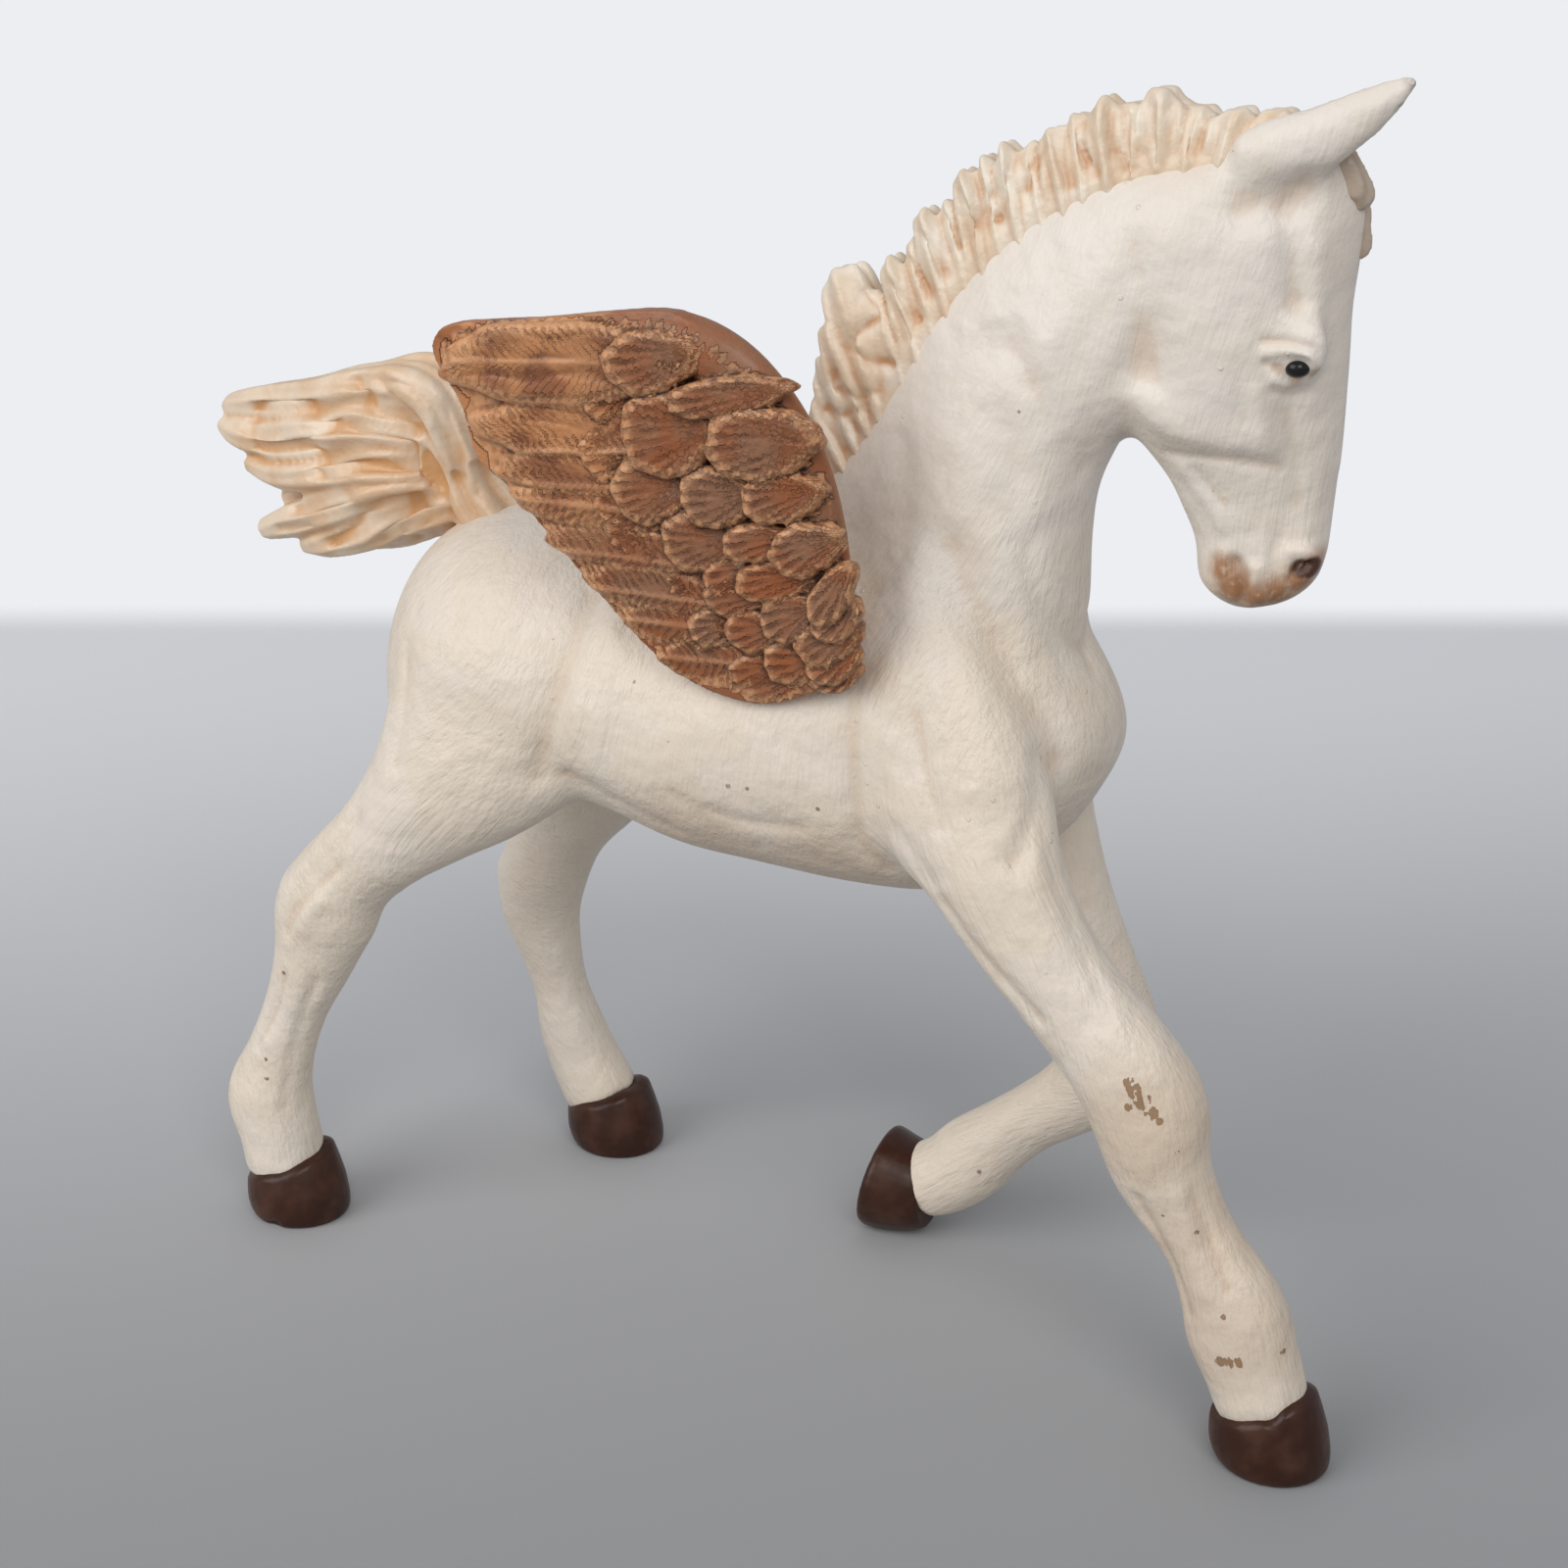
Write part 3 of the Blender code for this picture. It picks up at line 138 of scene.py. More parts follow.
# Ears by side: drop in radians, share of the length, lean outwards
EAR_SETS = {-1: (0.0, 1.0, 0.10), 1: (math.radians(13.0), 0.82, -0.10)}
# Points of the hocks: x, share of the track, z, half sizes, side
HOCKS = (
    (-42.4, 0.99, 30.0, (1.7, 1.5, 2.0), -1),
    (-35.8, 0.99, 25.0, (1.6, 1.5, 2.0), 1),
)
# Lines cut or raised on both flanks: radius, depth, then x, z along the line
FLANK_LINES = (
    (0.9, -0.35, ((6.8, 54.2), (7.0, 51.0), (7.3, 46.4), (7.4, 41.7), (8.9, 39.0))),
    (1.8, 0.35, ((9.6, 54.0), (10.2, 47.0), (11.0, 41.0))),
    (1.6, -0.55, ((12.6, 63.1), (14.3, 60.4), (16.0, 57.7), (18.2, 54.4), (20.4, 51.6), (21.2, 49.0))),
    (2.2, 0.55, ((10.5, 61.0), (12.6, 57.4), (15.2, 53.2), (17.0, 49.0))),
    (1.0, -0.35, ((17.7, 63.4), (18.5, 60.2), (20.0, 57.0), (21.4, 54.4))),
    (1.0, -0.45, ((20.6, 49.6), (21.2, 47.2), (20.8, 44.8), (20.0, 43.2))),
    (0.9, -0.30, ((10.7, 43.6), (12.0, 42.4), (13.7, 40.4))),
    (1.2, -0.45, ((-15.6, 56.9), (-16.0, 53.6), (-17.1, 49.2), (-18.1, 45.9), (-19.0, 43.0))),
    (1.8, 0.40, ((-13.2, 56.7), (-14.0, 50.6), (-14.8, 45.2))),
    (1.2, -0.40, ((-16.6, 43.0), (-13.0, 41.2), (-9.0, 39.8))),
    (0.9, -0.35, ((-34.6, 38.0), (-37.2, 34.4), (-40.0, 31.6), (-41.2, 29.0))),
)
# Lines on both sides of the neck at its own half width
NECK_LINES = (
    (1.2, -0.35, ((20.6, 68.5), (19.0, 72.0), (17.2, 75.0), (15.6, 77.2))),
    (1.4, 0.30, ((18.0, 66.0), (17.2, 71.0), (15.6, 74.4))),
    (1.3, -0.40, ((25.4, 75.6), (24.2, 79.6), (24.0, 84.0))),
)
# Fine creases left by the tool on the neck, shoulder and flank: radius, depth, x, z
CREASES = (
    (1.0, -0.22, ((22.6, 70.0), (21.6, 66.4), (21.2, 62.6), (21.4, 59.0))),
    (1.3, -0.24, ((14.0, 77.0), (15.6, 73.0), (16.4, 69.4), (16.4, 65.6))),
    (1.6, 0.30, ((18.4, 77.6), (19.4, 73.0), (19.6, 68.6))),
    (1.2, -0.22, ((22.4, 80.6), (20.6, 77.6), (19.6, 75.2))),
    (1.1, -0.20, ((7.0, 70.0), (8.6, 66.2), (9.0, 62.0))),
    (0.6, -0.22, ((13.6, 56.0), (15.4, 52.0), (16.4, 48.6))),
    (0.6, -0.20, ((11.8, 52.0), (13.2, 48.0), (14.6, 44.8))),
    (0.6, -0.22, ((-13.4, 54.0), (-14.0, 49.0), (-15.0, 44.6))),
    (0.8, -0.25, ((-31.0, 52.0), (-30.4, 47.0), (-30.8, 43.0))),
    (0.7, -0.20, ((-7.0, 43.4), (-2.0, 42.0), (3.0, 42.2))),
)
# Lines on the legs of the near side, then of the far side: radius, depth, x, z
LEG_LINES = {
    -1: (
        (0.7, -0.45, ((14.7, 38.9), (16.9, 36.4), (20.0, 33.9), (22.4, 31.9))),
        (0.6, -0.35, ((21.6, 45.0), (22.4, 43.0), (23.6, 40.4), (25.2, 37.4), (26.8, 34.6))),
        (0.6, -0.45, ((30.2, 19.6), (31.8, 16.4), (33.0, 13.6), (34.0, 11.6))),
        (0.6, -0.35, ((34.4, 20.4), (35.6, 17.4), (37.0, 14.4))),
        (0.6, 0.25, ((33.2, 20.6), (34.2, 17.0), (35.6, 13.6))),
        (0.6, -0.45, ((-36.4, 33.6), (-38.6, 31.4), (-40.6, 29.4), (-41.8, 27.2))),
        (0.6, -0.35, ((-39.6, 22.8), (-41.4, 18.6), (-42.8, 14.4), (-43.4, 10.6))),
        (0.5, -0.30, ((-42.6, 23.0), (-43.8, 19.4), (-46.0, 16.2))),
        (1.0, 0.35, ((-38.4, 30.6), (-39.8, 28.0))),
    ),
    1: (
        (0.6, -0.40, ((-30.6, 24.6), (-31.2, 20.4), (-30.8, 16.0), (-29.8, 12.4))),
        (0.6, -0.35, ((16.8, 15.4), (14.0, 12.6), (11.2, 10.0))),
    ),
}
# Lines on both sides of the head: radius, depth, then s, z along the line
HEAD_LINES = (
    (0.45, -0.34, ((-0.6, 70.0), (1.7, 70.1), (3.9, 70.1), (5.6, 69.9), (7.0, 69.5))),
    (1.2, 0.45, ((-2.4, 74.0), (-0.4, 72.0), (2.6, 71.6), (5.0, 71.6))),
    (0.6, 0.32, ((0.4, 68.9), (1.6, 67.6), (2.8, 66.4), (3.4, 65.2))),
    (0.4, -0.26, ((1.5, 69.1), (2.3, 68.1), (3.4, 66.8))),
    (0.7, 0.30, ((5.1, 74.8), (5.6, 72.9), (6.2, 70.9))),
    (1.0, -0.35, ((7.4, 73.4), (8.0, 70.4), (8.4, 67.4))),
    (0.32, -0.30, ((5.4, 78.3), (6.8, 78.3), (7.9, 78.1), (8.8, 77.8), (9.5, 77.1))),
    (0.40, 0.28, ((5.6, 77.5), (6.5, 77.7), (7.5, 77.7), (8.5, 77.4), (9.1, 76.7))),
    (0.36, 0.26, ((6.3, 75.7), (7.1, 75.2), (8.1, 75.2), (9.0, 75.6))),
    (0.45, -0.24, ((6.4, 74.8), (7.5, 74.5), (8.8, 74.7))),
    (0.30, -0.22, ((5.6, 76.8), (6.3, 76.5))),
    (1.0, -0.40, ((6.6, 86.6), (7.0, 83.6), (7.2, 81.0))),
    (0.9, 0.30, ((8.6, 84.0), (8.8, 81.0), (9.0, 79.4))),
    (0.42, -0.65, ((4.5, 62.8), (4.9, 61.9), (5.1, 60.6), (5.2, 59.6))),
    (0.5, 0.38, ((3.6, 63.4), (3.7, 61.8), (4.3, 60.4))),
    (0.5, 0.34, ((5.8, 62.4), (5.8, 61.2), (6.2, 60.2))),
    (0.45, -0.18, ((7.3, 64.6), (7.0, 63.2), (7.4, 61.6))),
    (0.50, -0.75, ((8.8, 62.7), (9.5, 62.8), (10.1, 62.7))),
    (0.42, -0.40, ((8.5, 62.0), (9.2, 62.4))),
    (0.40, 0.24, ((8.2, 63.8), (9.2, 64.0), (10.2, 63.7))),
    (1.5, -0.70, ((3.6, 87.0), (5.6, 87.2), (7.4, 87.8))),
    (1.3, -0.25, ((-3.0, 76.0), (-2.2, 79.0), (-2.6, 82.0))),
)
# Rounded forms of the head, on both sides: s, share of the half width, z, half sizes
HEAD_FORMS = (
    (0.4, 0.62, 75.4, (4.2, 1.8, 4.2)),
    (7.4, 0.74, 77.6, (2.6, 1.3, 2.2)),
    (9.2, 0.42, 63.0, (1.3, 1.0, 1.5)),
)
EYE = (7.7, 76.5)
EYE_SOCKET = (0.80, -0.40, (EYE, (7.8, 76.5)))
# Where the face is modelled finest: s, t, z, radius
FACE_PLACES = (((7.6, -4.6, 76.6), 3.1), ((7.6, -2.5, 62.0), 4.2))


def curve_rows(rows, steps=CURVE_STEPS):
    """Rows of a table with rounded steps added between them."""
    table = np.array(rows, dtype=float)
    padded = np.vstack([2 * table[0] - table[1], table, 2 * table[-1] - table[-2]])
    out = []
    for i in range(1, len(padded) - 2):
        before, start, end, after = padded[i - 1:i + 3]
        for t in np.arange(steps) / steps:
            bend = 2 * before - 5 * start + 4 * end - after
            twist = 3 * start - before - 3 * end + after
            out.append(start + 0.5 * (t * (end - before) + t * t * bend + t ** 3 * twist))
    out.append(table[-1])
    return np.array(out)


def ring(centre, front, side, taper=0.0, flutes=0, groove=0.0, turn=0.0):
    sides = RING_SIDES * 3 if flutes else RING_SIDES
    angles = np.linspace(0, 2 * math.pi, sides, endpoint=False)[:, None]
    swell = 1 - groove * (1 - np.abs(np.cos(flutes * angles / 2 + turn)))
    return centre + swell * (front * np.cos(angles) + side * np.sin(angles) * (1 + taper * np.cos(angles)))


def head_place(points):
    """From the head's own turned plane to the figure."""
    s, t, z = np.asarray(points, dtype=float).T
    x = s * math.cos(HEAD_TURN) - t * math.sin(HEAD_TURN)
    y = s * math.sin(HEAD_TURN) + t * math.cos(HEAD_TURN)
    return np.stack([x, y, z], axis=-1) + HEAD_PIVOT


def head_plane(points):
    """From the figure to the head's own turned plane."""
    x, y, z = (points - HEAD_PIVOT).T
    s = x * math.cos(HEAD_TURN) + y * math.sin(HEAD_TURN)
    t = y * math.cos(HEAD_TURN) - x * math.sin(HEAD_TURN)
    return np.stack([s, t, z], axis=-1)


def unit_ball(level):
    """Points and triangles of a ball of radius one, finer at each level."""
    bm = bmesh.new()
    bmesh.ops.create_icosphere(bm, subdivisions=level, radius=1.0)
    points = np.array([tuple(v.co) for v in bm.verts])
    faces = np.array([[v.index for v in f.verts] for f in bm.faces])
    bm.free()
    return points, faces


class Clay:
    """Lumps of modelling clay that are then pressed into one skin."""

    def __init__(self):
        self.points = []
        self.faces = []
        self.marks = []
        self.count = 0

    def add(self, points, *faces, marks=None):
        self.points.append(points)
        self.marks.append(np.zeros((len(points), 4)) if marks is None else marks)
        self.faces += [f + self.count for f in faces]
        self.count += len(points)

    def tube(self, rings):
        rings = np.array(rings)
        rows, sides = rings.shape[:2]
        loop = np.arange(sides)
        after = (loop + 1) % sides
        starts = np.arange(rows - 1)[:, None] * sides
        near, turn = starts + loop, starts + after
        walls = np.stack([near, turn, turn + sides, near + sides], axis=-1).reshape(-1, 4)
        ends = np.array([rings[0].mean(axis=0), rings[-1].mean(axis=0)])
        centre = np.full(sides, rows * sides)
        top = (rows - 1) * sides
        caps = np.vstack([
            np.stack([centre, after, loop], axis=-1),
            np.stack([centre + 1, top + loop, top + after], axis=-1)])
        self.add(np.vstack([rings.reshape(-1, 3), ends]), walls, caps)

    def loft(self, rows, half_width, place=None):
        """Rings given by their two edge points in the middle plane and a share of the half width."""
        rings = []
        for xa, za, xb, zb, share, taper in curve_rows(rows):
            centre = np.array([(xa + xb) / 2, 0.0, (za + zb) / 2])
            front = np.array([(xa - xb) / 2, 0.0, (za - zb) / 2])
            points = ring(centre, front, np.array([0.0, share * half_width, 0.0]), taper)
            rings.append(place(points) if place else points)
        self.tube(rings)

    def limb(self, rows, side_axis=(0.0, 1.0, 0.0), flutes=0, groove=0.0, twist=0.0):
        """Tube along stations x, y, z, half height, half width, square to its own path."""
        table = curve_rows(rows)
        tangents = np.gradient(table[:, :3], axis=0)
        rings = []
        for number, (row, tangent) in enumerate(zip(table, tangents)):
            along = tangent / np.linalg.norm(tangent)
            side = np.array(side_axis) - along * np.dot(side_axis, along)
            side = side / np.linalg.norm(side)
            front = np.cross(side, along) * row[3]
            rings.append(ring(row[:3], front, side * row[4], 0.0, flutes, groove, twist * number))
        self.tube(rings)

    def ball(self, centre, sizes, level=4):
        points, faces = unit_ball(level)
        self.add(points * np.array(sizes) + np.array(centre), faces)

    def mesh(self, name):
        mesh = bpy.data.meshes.new(name)
        faces = [face for block in self.faces for face in block.tolist()]
        mesh.from_pydata(np.vstack(self.points).tolist(), [], faces)
        return mesh

    def press(self, name, voxel):
        """One closed skin round all the lumps."""
        item = placed(name, self.mesh(name))
        modifier = item.modifiers.new("skin", "REMESH")
        modifier.mode = "VOXEL"
        modifier.voxel_size = voxel
        graph = bpy.context.evaluated_depsgraph_get()
        graph.update()
        loose = item.data
        item.data = bpy.data.meshes.new_from_object(item.evaluated_get(graph))
        item.modifiers.clear()
        bpy.data.meshes.remove(loose)
        return item


def placed(name, data):
    item = bpy.data.objects.new(name, data)
    bpy.context.scene.collection.objects.link(item)
    return item


def read(things, key, width, kind):
    values = np.empty(len(things) * width, dtype=kind)
    things.foreach_get(key, values)
    return values.reshape(-1, width)


def read_points(item):
    return read(item.data.vertices, "co", 3, np.float32).astype(float)


def write_points(item, points):
    item.data.vertices.foreach_set("co", points.astype(np.float32).ravel())
    item.data.update()


def read_normals(item):
    return read(item.data.vertex_normals, "vector", 3, np.float32).astype(float)


def read_edges(item):
    return read(item.data.edges, "vertices", 2, np.int32)


def relaxed(points, edges, rounds, factor=0.5):
    """Points after some rounds of moving each towards the middle of its neighbours."""
    a, b = edges.T
    count = np.bincount(a, minlength=len(points)) + np.bincount(b, minlength=len(points))
    out = points.copy()
    for _ in range(rounds):
        middle = np.stack([
            np.bincount(a, out[b, k], len(out)) + np.bincount(b, out[a, k], len(out))
            for k in range(out.shape[1])], axis=-1) / count[:, None]
        out += factor * (middle - out)
    return out


def smooth(item, rounds):
    write_points(item, relaxed(read_points(item), read_edges(item), rounds))


def on_surface(local, place, side, reach=0.7):
    """Outermost point of the skin on one side over a place in the middle plane."""
    near = (local[:, 0] - place[0]) ** 2 + (local[:, 2] - place[1]) ** 2 < reach ** 2
    heights = local[near, 1] * side
    depth = heights.max() if len(heights) else 0.0
    return np.array([place[0], side * depth, place[1]])


def stroke(local, path, radius):
    """How near each point lies to a path, one on it and fading to nothing."""
    low = np.min(path, axis=0) - STROKE_REACH * radius
    high = np.max(path, axis=0) + STROKE_REACH * radius
    inside = np.flatnonzero(np.all((local > low) & (local < high), axis=1))
    nearest = np.full(len(inside), np.inf)
    for start, end in zip(path, path[1:]):
        span = end - start
        t = np.clip((local[inside] - start) @ span / max(span @ span, 1e-9), 0, 1)
        nearest = np.minimum(nearest, np.linalg.norm(local[inside] - start - t[:, None] * span, axis=1))
    out = np.zeros(len(local))
    out[inside] = np.exp(-(nearest / radius) ** 2)
    return out


def cut_lines(item, lines, sides=(-1, 1), plane=None):
    """Press the lines into the skin, each at its own depth, on the stated sides."""
    points = read_points(item)
    local = plane(points) if plane else points
    move = np.zeros(len(points))
    for side in sides:
        for radius, depth, line in lines:
            places = curve_rows(line, LINE_STEPS) if len(line) > 2 else np.array(line)
            path = [on_surface(local, place, side) for place in places]
            move += depth * stroke(local, path, radius)
    write_points(item, points + read_normals(item) * move[:, None])


def note(item, name, values):
    """Keep one number, or one vector, at each point for the paint."""
    if values.ndim == 1:
        layer = item.data.attributes.new(name, "FLOAT", "POINT")
        layer.data.foreach_set("value", values.astype(np.float32))
    else:
        layer = item.data.attributes.new(name, "FLOAT_VECTOR", "POINT")
        layer.data.foreach_set("vector", values.astype(np.float32).ravel())


def note_hollows(item, fine, broad):
    """How far each point lies below the form rounded off a little, and a lot, in millimetres."""
    points = read_points(item)
    for name, rounds in (("recess", fine), ("hollow", broad)):
        rounded = relaxed(points, read_edges(item), rounds)
        note(item, name, np.einsum("ij,ij->i", rounded - points, read_normals(item)))


def leg_rows(rows, side):
    return [(x, share * side * LEG_TRACK, z, depth, width) for x, share, z, depth, width in rows]


def ear_rows(side):
    drop, length, lean = EAR_SETS[side]
    root_s, root_z = EAR[0][:2]
    rows = []
    for s, z, half_height, half_thickness in EAR:
        out = (s - root_s) * length
        up = z - root_z
        lowered_s = root_s + out * math.cos(drop) + up * math.sin(drop)
        lowered_z = root_z + up * math.cos(drop) - out * math.sin(drop)
        point = head_place((lowered_s, side * (EAR_OFFSET + out * lean), lowered_z))
        rows.append((*point, half_height, half_thickness))
    return rows


def refine(item, balls):
    """Halve the faces inside the balls, for detail finer than the rest of the skin."""
    bm = bmesh.new()
    bm.from_mesh(item.data)
    for centre, radius in balls:
        middle = Vector(centre)
        edges = [e for e in bm.edges if (e.verts[0].co - middle).length < radius
                 and (e.verts[1].co - middle).length < radius]
        bmesh.ops.subdivide_edges(bm, edges=edges, cuts=1, use_grid_fill=True)
    bm.to_mesh(item.data)
    bm.free()


body_clay = Clay()
body_clay.loft(TRUNK, TORSO_HALF_WIDTH)
body_clay.loft(NECK, NECK_HALF_WIDTH)
body_clay.loft(HEAD, HEAD_HALF_WIDTH, head_place)
for side in (-1, 1):
    for s, share, z, sizes in HEAD_FORMS:
        body_clay.ball(head_place((s, side * share * HEAD_HALF_WIDTH, z)), sizes)
    body_clay.limb(ear_rows(side))
for rows, side in ((NEAR_FORE, -1), (FAR_FORE, 1), (NEAR_HIND, -1), (FAR_HIND, 1)):
    body_clay.limb(leg_rows(rows, side))
for x, share, z, sizes, side in HOCKS:
    body_clay.ball((x, share * side * LEG_TRACK, z), sizes)
body = body_clay.press("body", BODY_VOXEL)
smooth(body, BODY_ROUNDS)
refine(body, [(head_place(centre), radius) for centre, radius in FACE_PLACES])
for lines in (FLANK_LINES, NECK_LINES, CREASES):
    cut_lines(body, lines)
for side, lines in LEG_LINES.items():
    cut_lines(body, lines, (side,))
cut_lines(body, HEAD_LINES, plane=head_plane)
cut_lines(body, (EYE_SOCKET,), plane=head_plane)
face = head_plane(read_points(body))
eye_places = {side: on_surface(face, EYE, side, 0.4) for side in (-1, 1)}

BRUSH_BLEND = 12.0
BRUSH_CENTRE = (0.0, 0.0, 45.0)
BRUSH_STRETCH = 0.9
# Where the brush went: middle of the part, direction of the strokes
BRUSH_STROKES = (
    ((-30.0, 0.0, 50.0), (0.1, 0.0, 1.0)),
    ((-16.0, 0.0, 48.0), (0.15, 0.0, 1.0)),
    ((-2.0, 0.0, 48.0), (0.05, 0.0, 1.0)),
    ((12.0, 0.0, 50.0), (0.35, 0.0, 1.0)),
    ((10.0, 0.0, 66.0), (0.45, 0.0, 0.9)),
    ((17.0, 0.0, 78.0), (0.5, 0.0, 0.85)),
    ((28.0, 2.0, 84.0), (0.2, 0.0, 1.0)),
    ((32.0, 2.0, 70.0), (-0.1, 0.0, 1.0)),
    ((18.0, -10.0, 40.0), (0.55, 0.0, -0.8)),
    ((30.0, -10.8, 25.0), (0.45, 0.0, -0.9)),
    ((37.0, -11.0, 12.0), (0.35, 0.0, -0.95)),
    ((16.0, 10.0, 34.0), (0.3, 0.0, -0.95)),
    ((16.0, 10.0, 13.0), (0.75, 0.0, 0.65)),
    ((-30.0, -9.0, 38.0), (0.7, 0.0, 0.7)),
    ((-42.0, -11.0, 22.0), (0.35, 0.0, 0.95)),
    ((-46.0, -11.0, 10.0), (0.1, 0.0, 1.0)),
    ((-27.0, 9.0, 36.0), (0.5, 0.0, 0.85)),
    ((-32.0, 11.0, 20.0), (-0.15, 0.0, 1.0)),
    ((-29.0, 11.0, 9.0), (-0.4, 0.0, 0.9)),
)


def note_brush(item, strokes):
    """Coordinates that run along the brush strokes, blended from part to part."""
    points = read_points(item)
    middles = np.array([middle for middle, _ in strokes])
    along = np.array([direction for _, direction in strokes], dtype=float)
    along = along / np.linalg.norm(along, axis=1)[:, None]
    far = ((points[:, None] - middles) ** 2).sum(axis=2)
    weights = np.exp(-(far - far.min(axis=1)[:, None]) / BRUSH_BLEND ** 2)
    weights = weights / weights.sum(axis=1)[:, None]
    centred = points - np.array(BRUSH_CENTRE)
    run = centred @ along.T
    note(item, "brush", centred - BRUSH_STRETCH * (weights * run) @ along)


note_hollows(body, 12, 60)
note_brush(body, BRUSH_STROKES)


def seat(item, finish):
    """Paint a piece and move it from the figure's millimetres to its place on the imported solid."""
    write_points(item, (read_points(item) + np.array(FIGURE_SHIFT)) * MM)
    item.data.materials.append(finish.material)
    item.data.shade_smooth()
    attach(item, "root")
    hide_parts("figurine")


class Mask:
    """One number of a finish, so that masks are written as sums and products."""

    def __init__(self, finish, socket):
        self.finish = finish
        self.socket = socket

    def maths(self, operation, *others, clamp=False):
        settings = {"operation": operation, "use_clamp": clamp}
        values = {i: value for i, value in enumerate(others)}
        return self.finish.node("ShaderNodeMath", settings, values)

    def __add__(self, other):
        return self.maths("ADD", self, other)

    def __sub__(self, other):
        return self.maths("SUBTRACT", self, other)

    def __mul__(self, other):
        return self.maths("MULTIPLY", self, other)

    def __rsub__(self, other):
        return self.maths("SUBTRACT", other, self)

    __radd__ = __add__
    __rmul__ = __mul__

    def sine(self):
        return self.maths("SINE", self)

    def cut(self, low, high):
        """Nothing below low, one above high, and a soft step between."""
        settings = {"interpolation_type": "SMOOTHSTEP"}
        values = {"Value": self, "From Min": low, "From Max": high}
        return self.finish.node("ShaderNodeMapRange", settings, values)

    def over(self, other):
        return self.maths("MAXIMUM", self, other)

    def held(self):
        return self.maths("ADD", self, 0.0, clamp=True)


class Finish:
    """A painted finish with its nodes."""

    def __init__(self, name, roughness, coat=0.0, coat_roughness=0.2, specular=0.5):
        self.material = bpy.data.materials.new(name)
        self.material.use_nodes = True
        self.tree = self.material.node_tree
        self.shader = self.tree.nodes["Principled BSDF"]
        self.shader.inputs["Roughness"].default_value = roughness
        self.shader.inputs["Specular IOR Level"].default_value = specular
        self.shader.inputs["Coat Weight"].default_value = coat
        self.shader.inputs["Coat Roughness"].default_value = coat_roughness
        place = self.node("ShaderNodeTexCoord", output="Object")
        self.place = self.node("ShaderNodeVectorMath", {"operation": "SCALE"},
                               {"Vector": place, "Scale": 1 / MM}, output="Vector")

    def plug(self, socket, value):
        if isinstance(value, Mask):
            self.tree.links.new(value.socket, socket)
        else:
            socket.default_value = (*value, 1.0) if socket.type == "RGBA" else value

    def node(self, kind, settings=None, values=None, output=0):
        node = self.tree.nodes.new(kind)
        for key, value in (settings or {}).items():
            setattr(node, key, value)
        for key, value in (values or {}).items():
            self.plug(node.inputs[key], value)
        return Mask(self, node.outputs[output])

    def split(self, vector):
        first = self.node("ShaderNodeSeparateXYZ", None, {0: vector})
        return [Mask(self, socket) for socket in first.socket.node.outputs]

    def noted(self, name, output="Fac"):
        return self.node("ShaderNodeAttribute", {"attribute_name": name}, output=output)

    def grain(self, size, detail=2.0, place=None, rough=0.5):
        """Soft noise with features of about this size in millimetres."""
        values = {"Vector": place or self.place, "Scale": 1 / size, "Detail": detail, "Roughness": rough}
        return self.node("ShaderNodeTexNoise", None, values)

    def dots(self, spacing, radius, place=None):
        """Round dots at random places, one in the middle and nothing outside."""
        values = {"Vector": place or self.place, "Scale": 1 / spacing, "Randomness": 1.0}
        far = self.node("ShaderNodeTexVoronoi", {"feature": "F1"}, values, output="Distance")
        return 1 - far.cut(radius / spacing * 0.6, radius / spacing)

    def near(self, centre, radius, soft, reach=1.0):
        """One inside a ball round a point of the figure, made longer sideways by its reach."""
        middle = Vector(centre) + Vector(FIGURE_SHIFT)
        flat = self.node("ShaderNodeVectorMath", {"operation": "MULTIPLY"},
                         {0: self.place, 1: (1.0, 1.0 / reach, 1.0)}, output="Vector")
        aim = (middle.x, middle.y / reach, middle.z)
        far = self.node("ShaderNodeVectorMath", {"operation": "DISTANCE"}, {0: flat, 1: aim},
                        output="Value")
        return 1 - far.cut(radius - soft, radius + soft)

    def spots(self, table, soft, reach=1.0):
        """All the balls of a table x, y, z, radius together."""
        whole = None
        for x, y, z, radius in table:
            spot = self.near((x, y, z), radius, radius * soft, reach)
            whole = spot if whole is None else whole.over(spot)
        return whole

    def blend(self, mask, under, upper):
        return self.node("ShaderNodeMix", {"data_type": "RGBA"}, {0: mask, 6: under, 7: upper}, output=2)

    def bump(self, height, depth, normal=None):
        """Bump of a height in millimetres."""
        values = {"Height": height, "Distance": depth * MM, "Strength": 1.0}
        if normal:
            values["Normal"] = normal
        return self.node("ShaderNodeBump", None, values, output="Normal")

    def wire(self, **sockets):
        for name, value in sockets.items():
            self.plug(self.shader.inputs[name.replace("_", " ")], value)


# Paint chips down to the tan plastic: x, y, z, radius
CHIPS = (
    (29.3, -14.5, 28.9, 0.42), (29.8, -14.5, 28.3, 0.6), (30.4, -14.5, 27.6, 0.62),
    (31.1, -14.4, 26.8, 0.5), (29.5, -14.4, 27.1, 0.3), (31.6, -14.3, 26.3, 0.26),
    (32.8, -14.0, 24.0, 0.22), (32.1, -14.0, 18.9, 0.2), (34.5, -14.0, 18.0, 0.22),
    (37.0, -14.0, 12.4, 0.22), (36.9, -14.3, 8.85, 0.42), (37.6, -14.4, 9.0, 0.5),
    (38.3, -14.3, 9.15, 0.42), (41.0, -13.0, 9.8, 0.22), (-44.9, -13.6, 13.3, 0.2),
    (-44.9, -13.6, 15.0, 0.18),
)
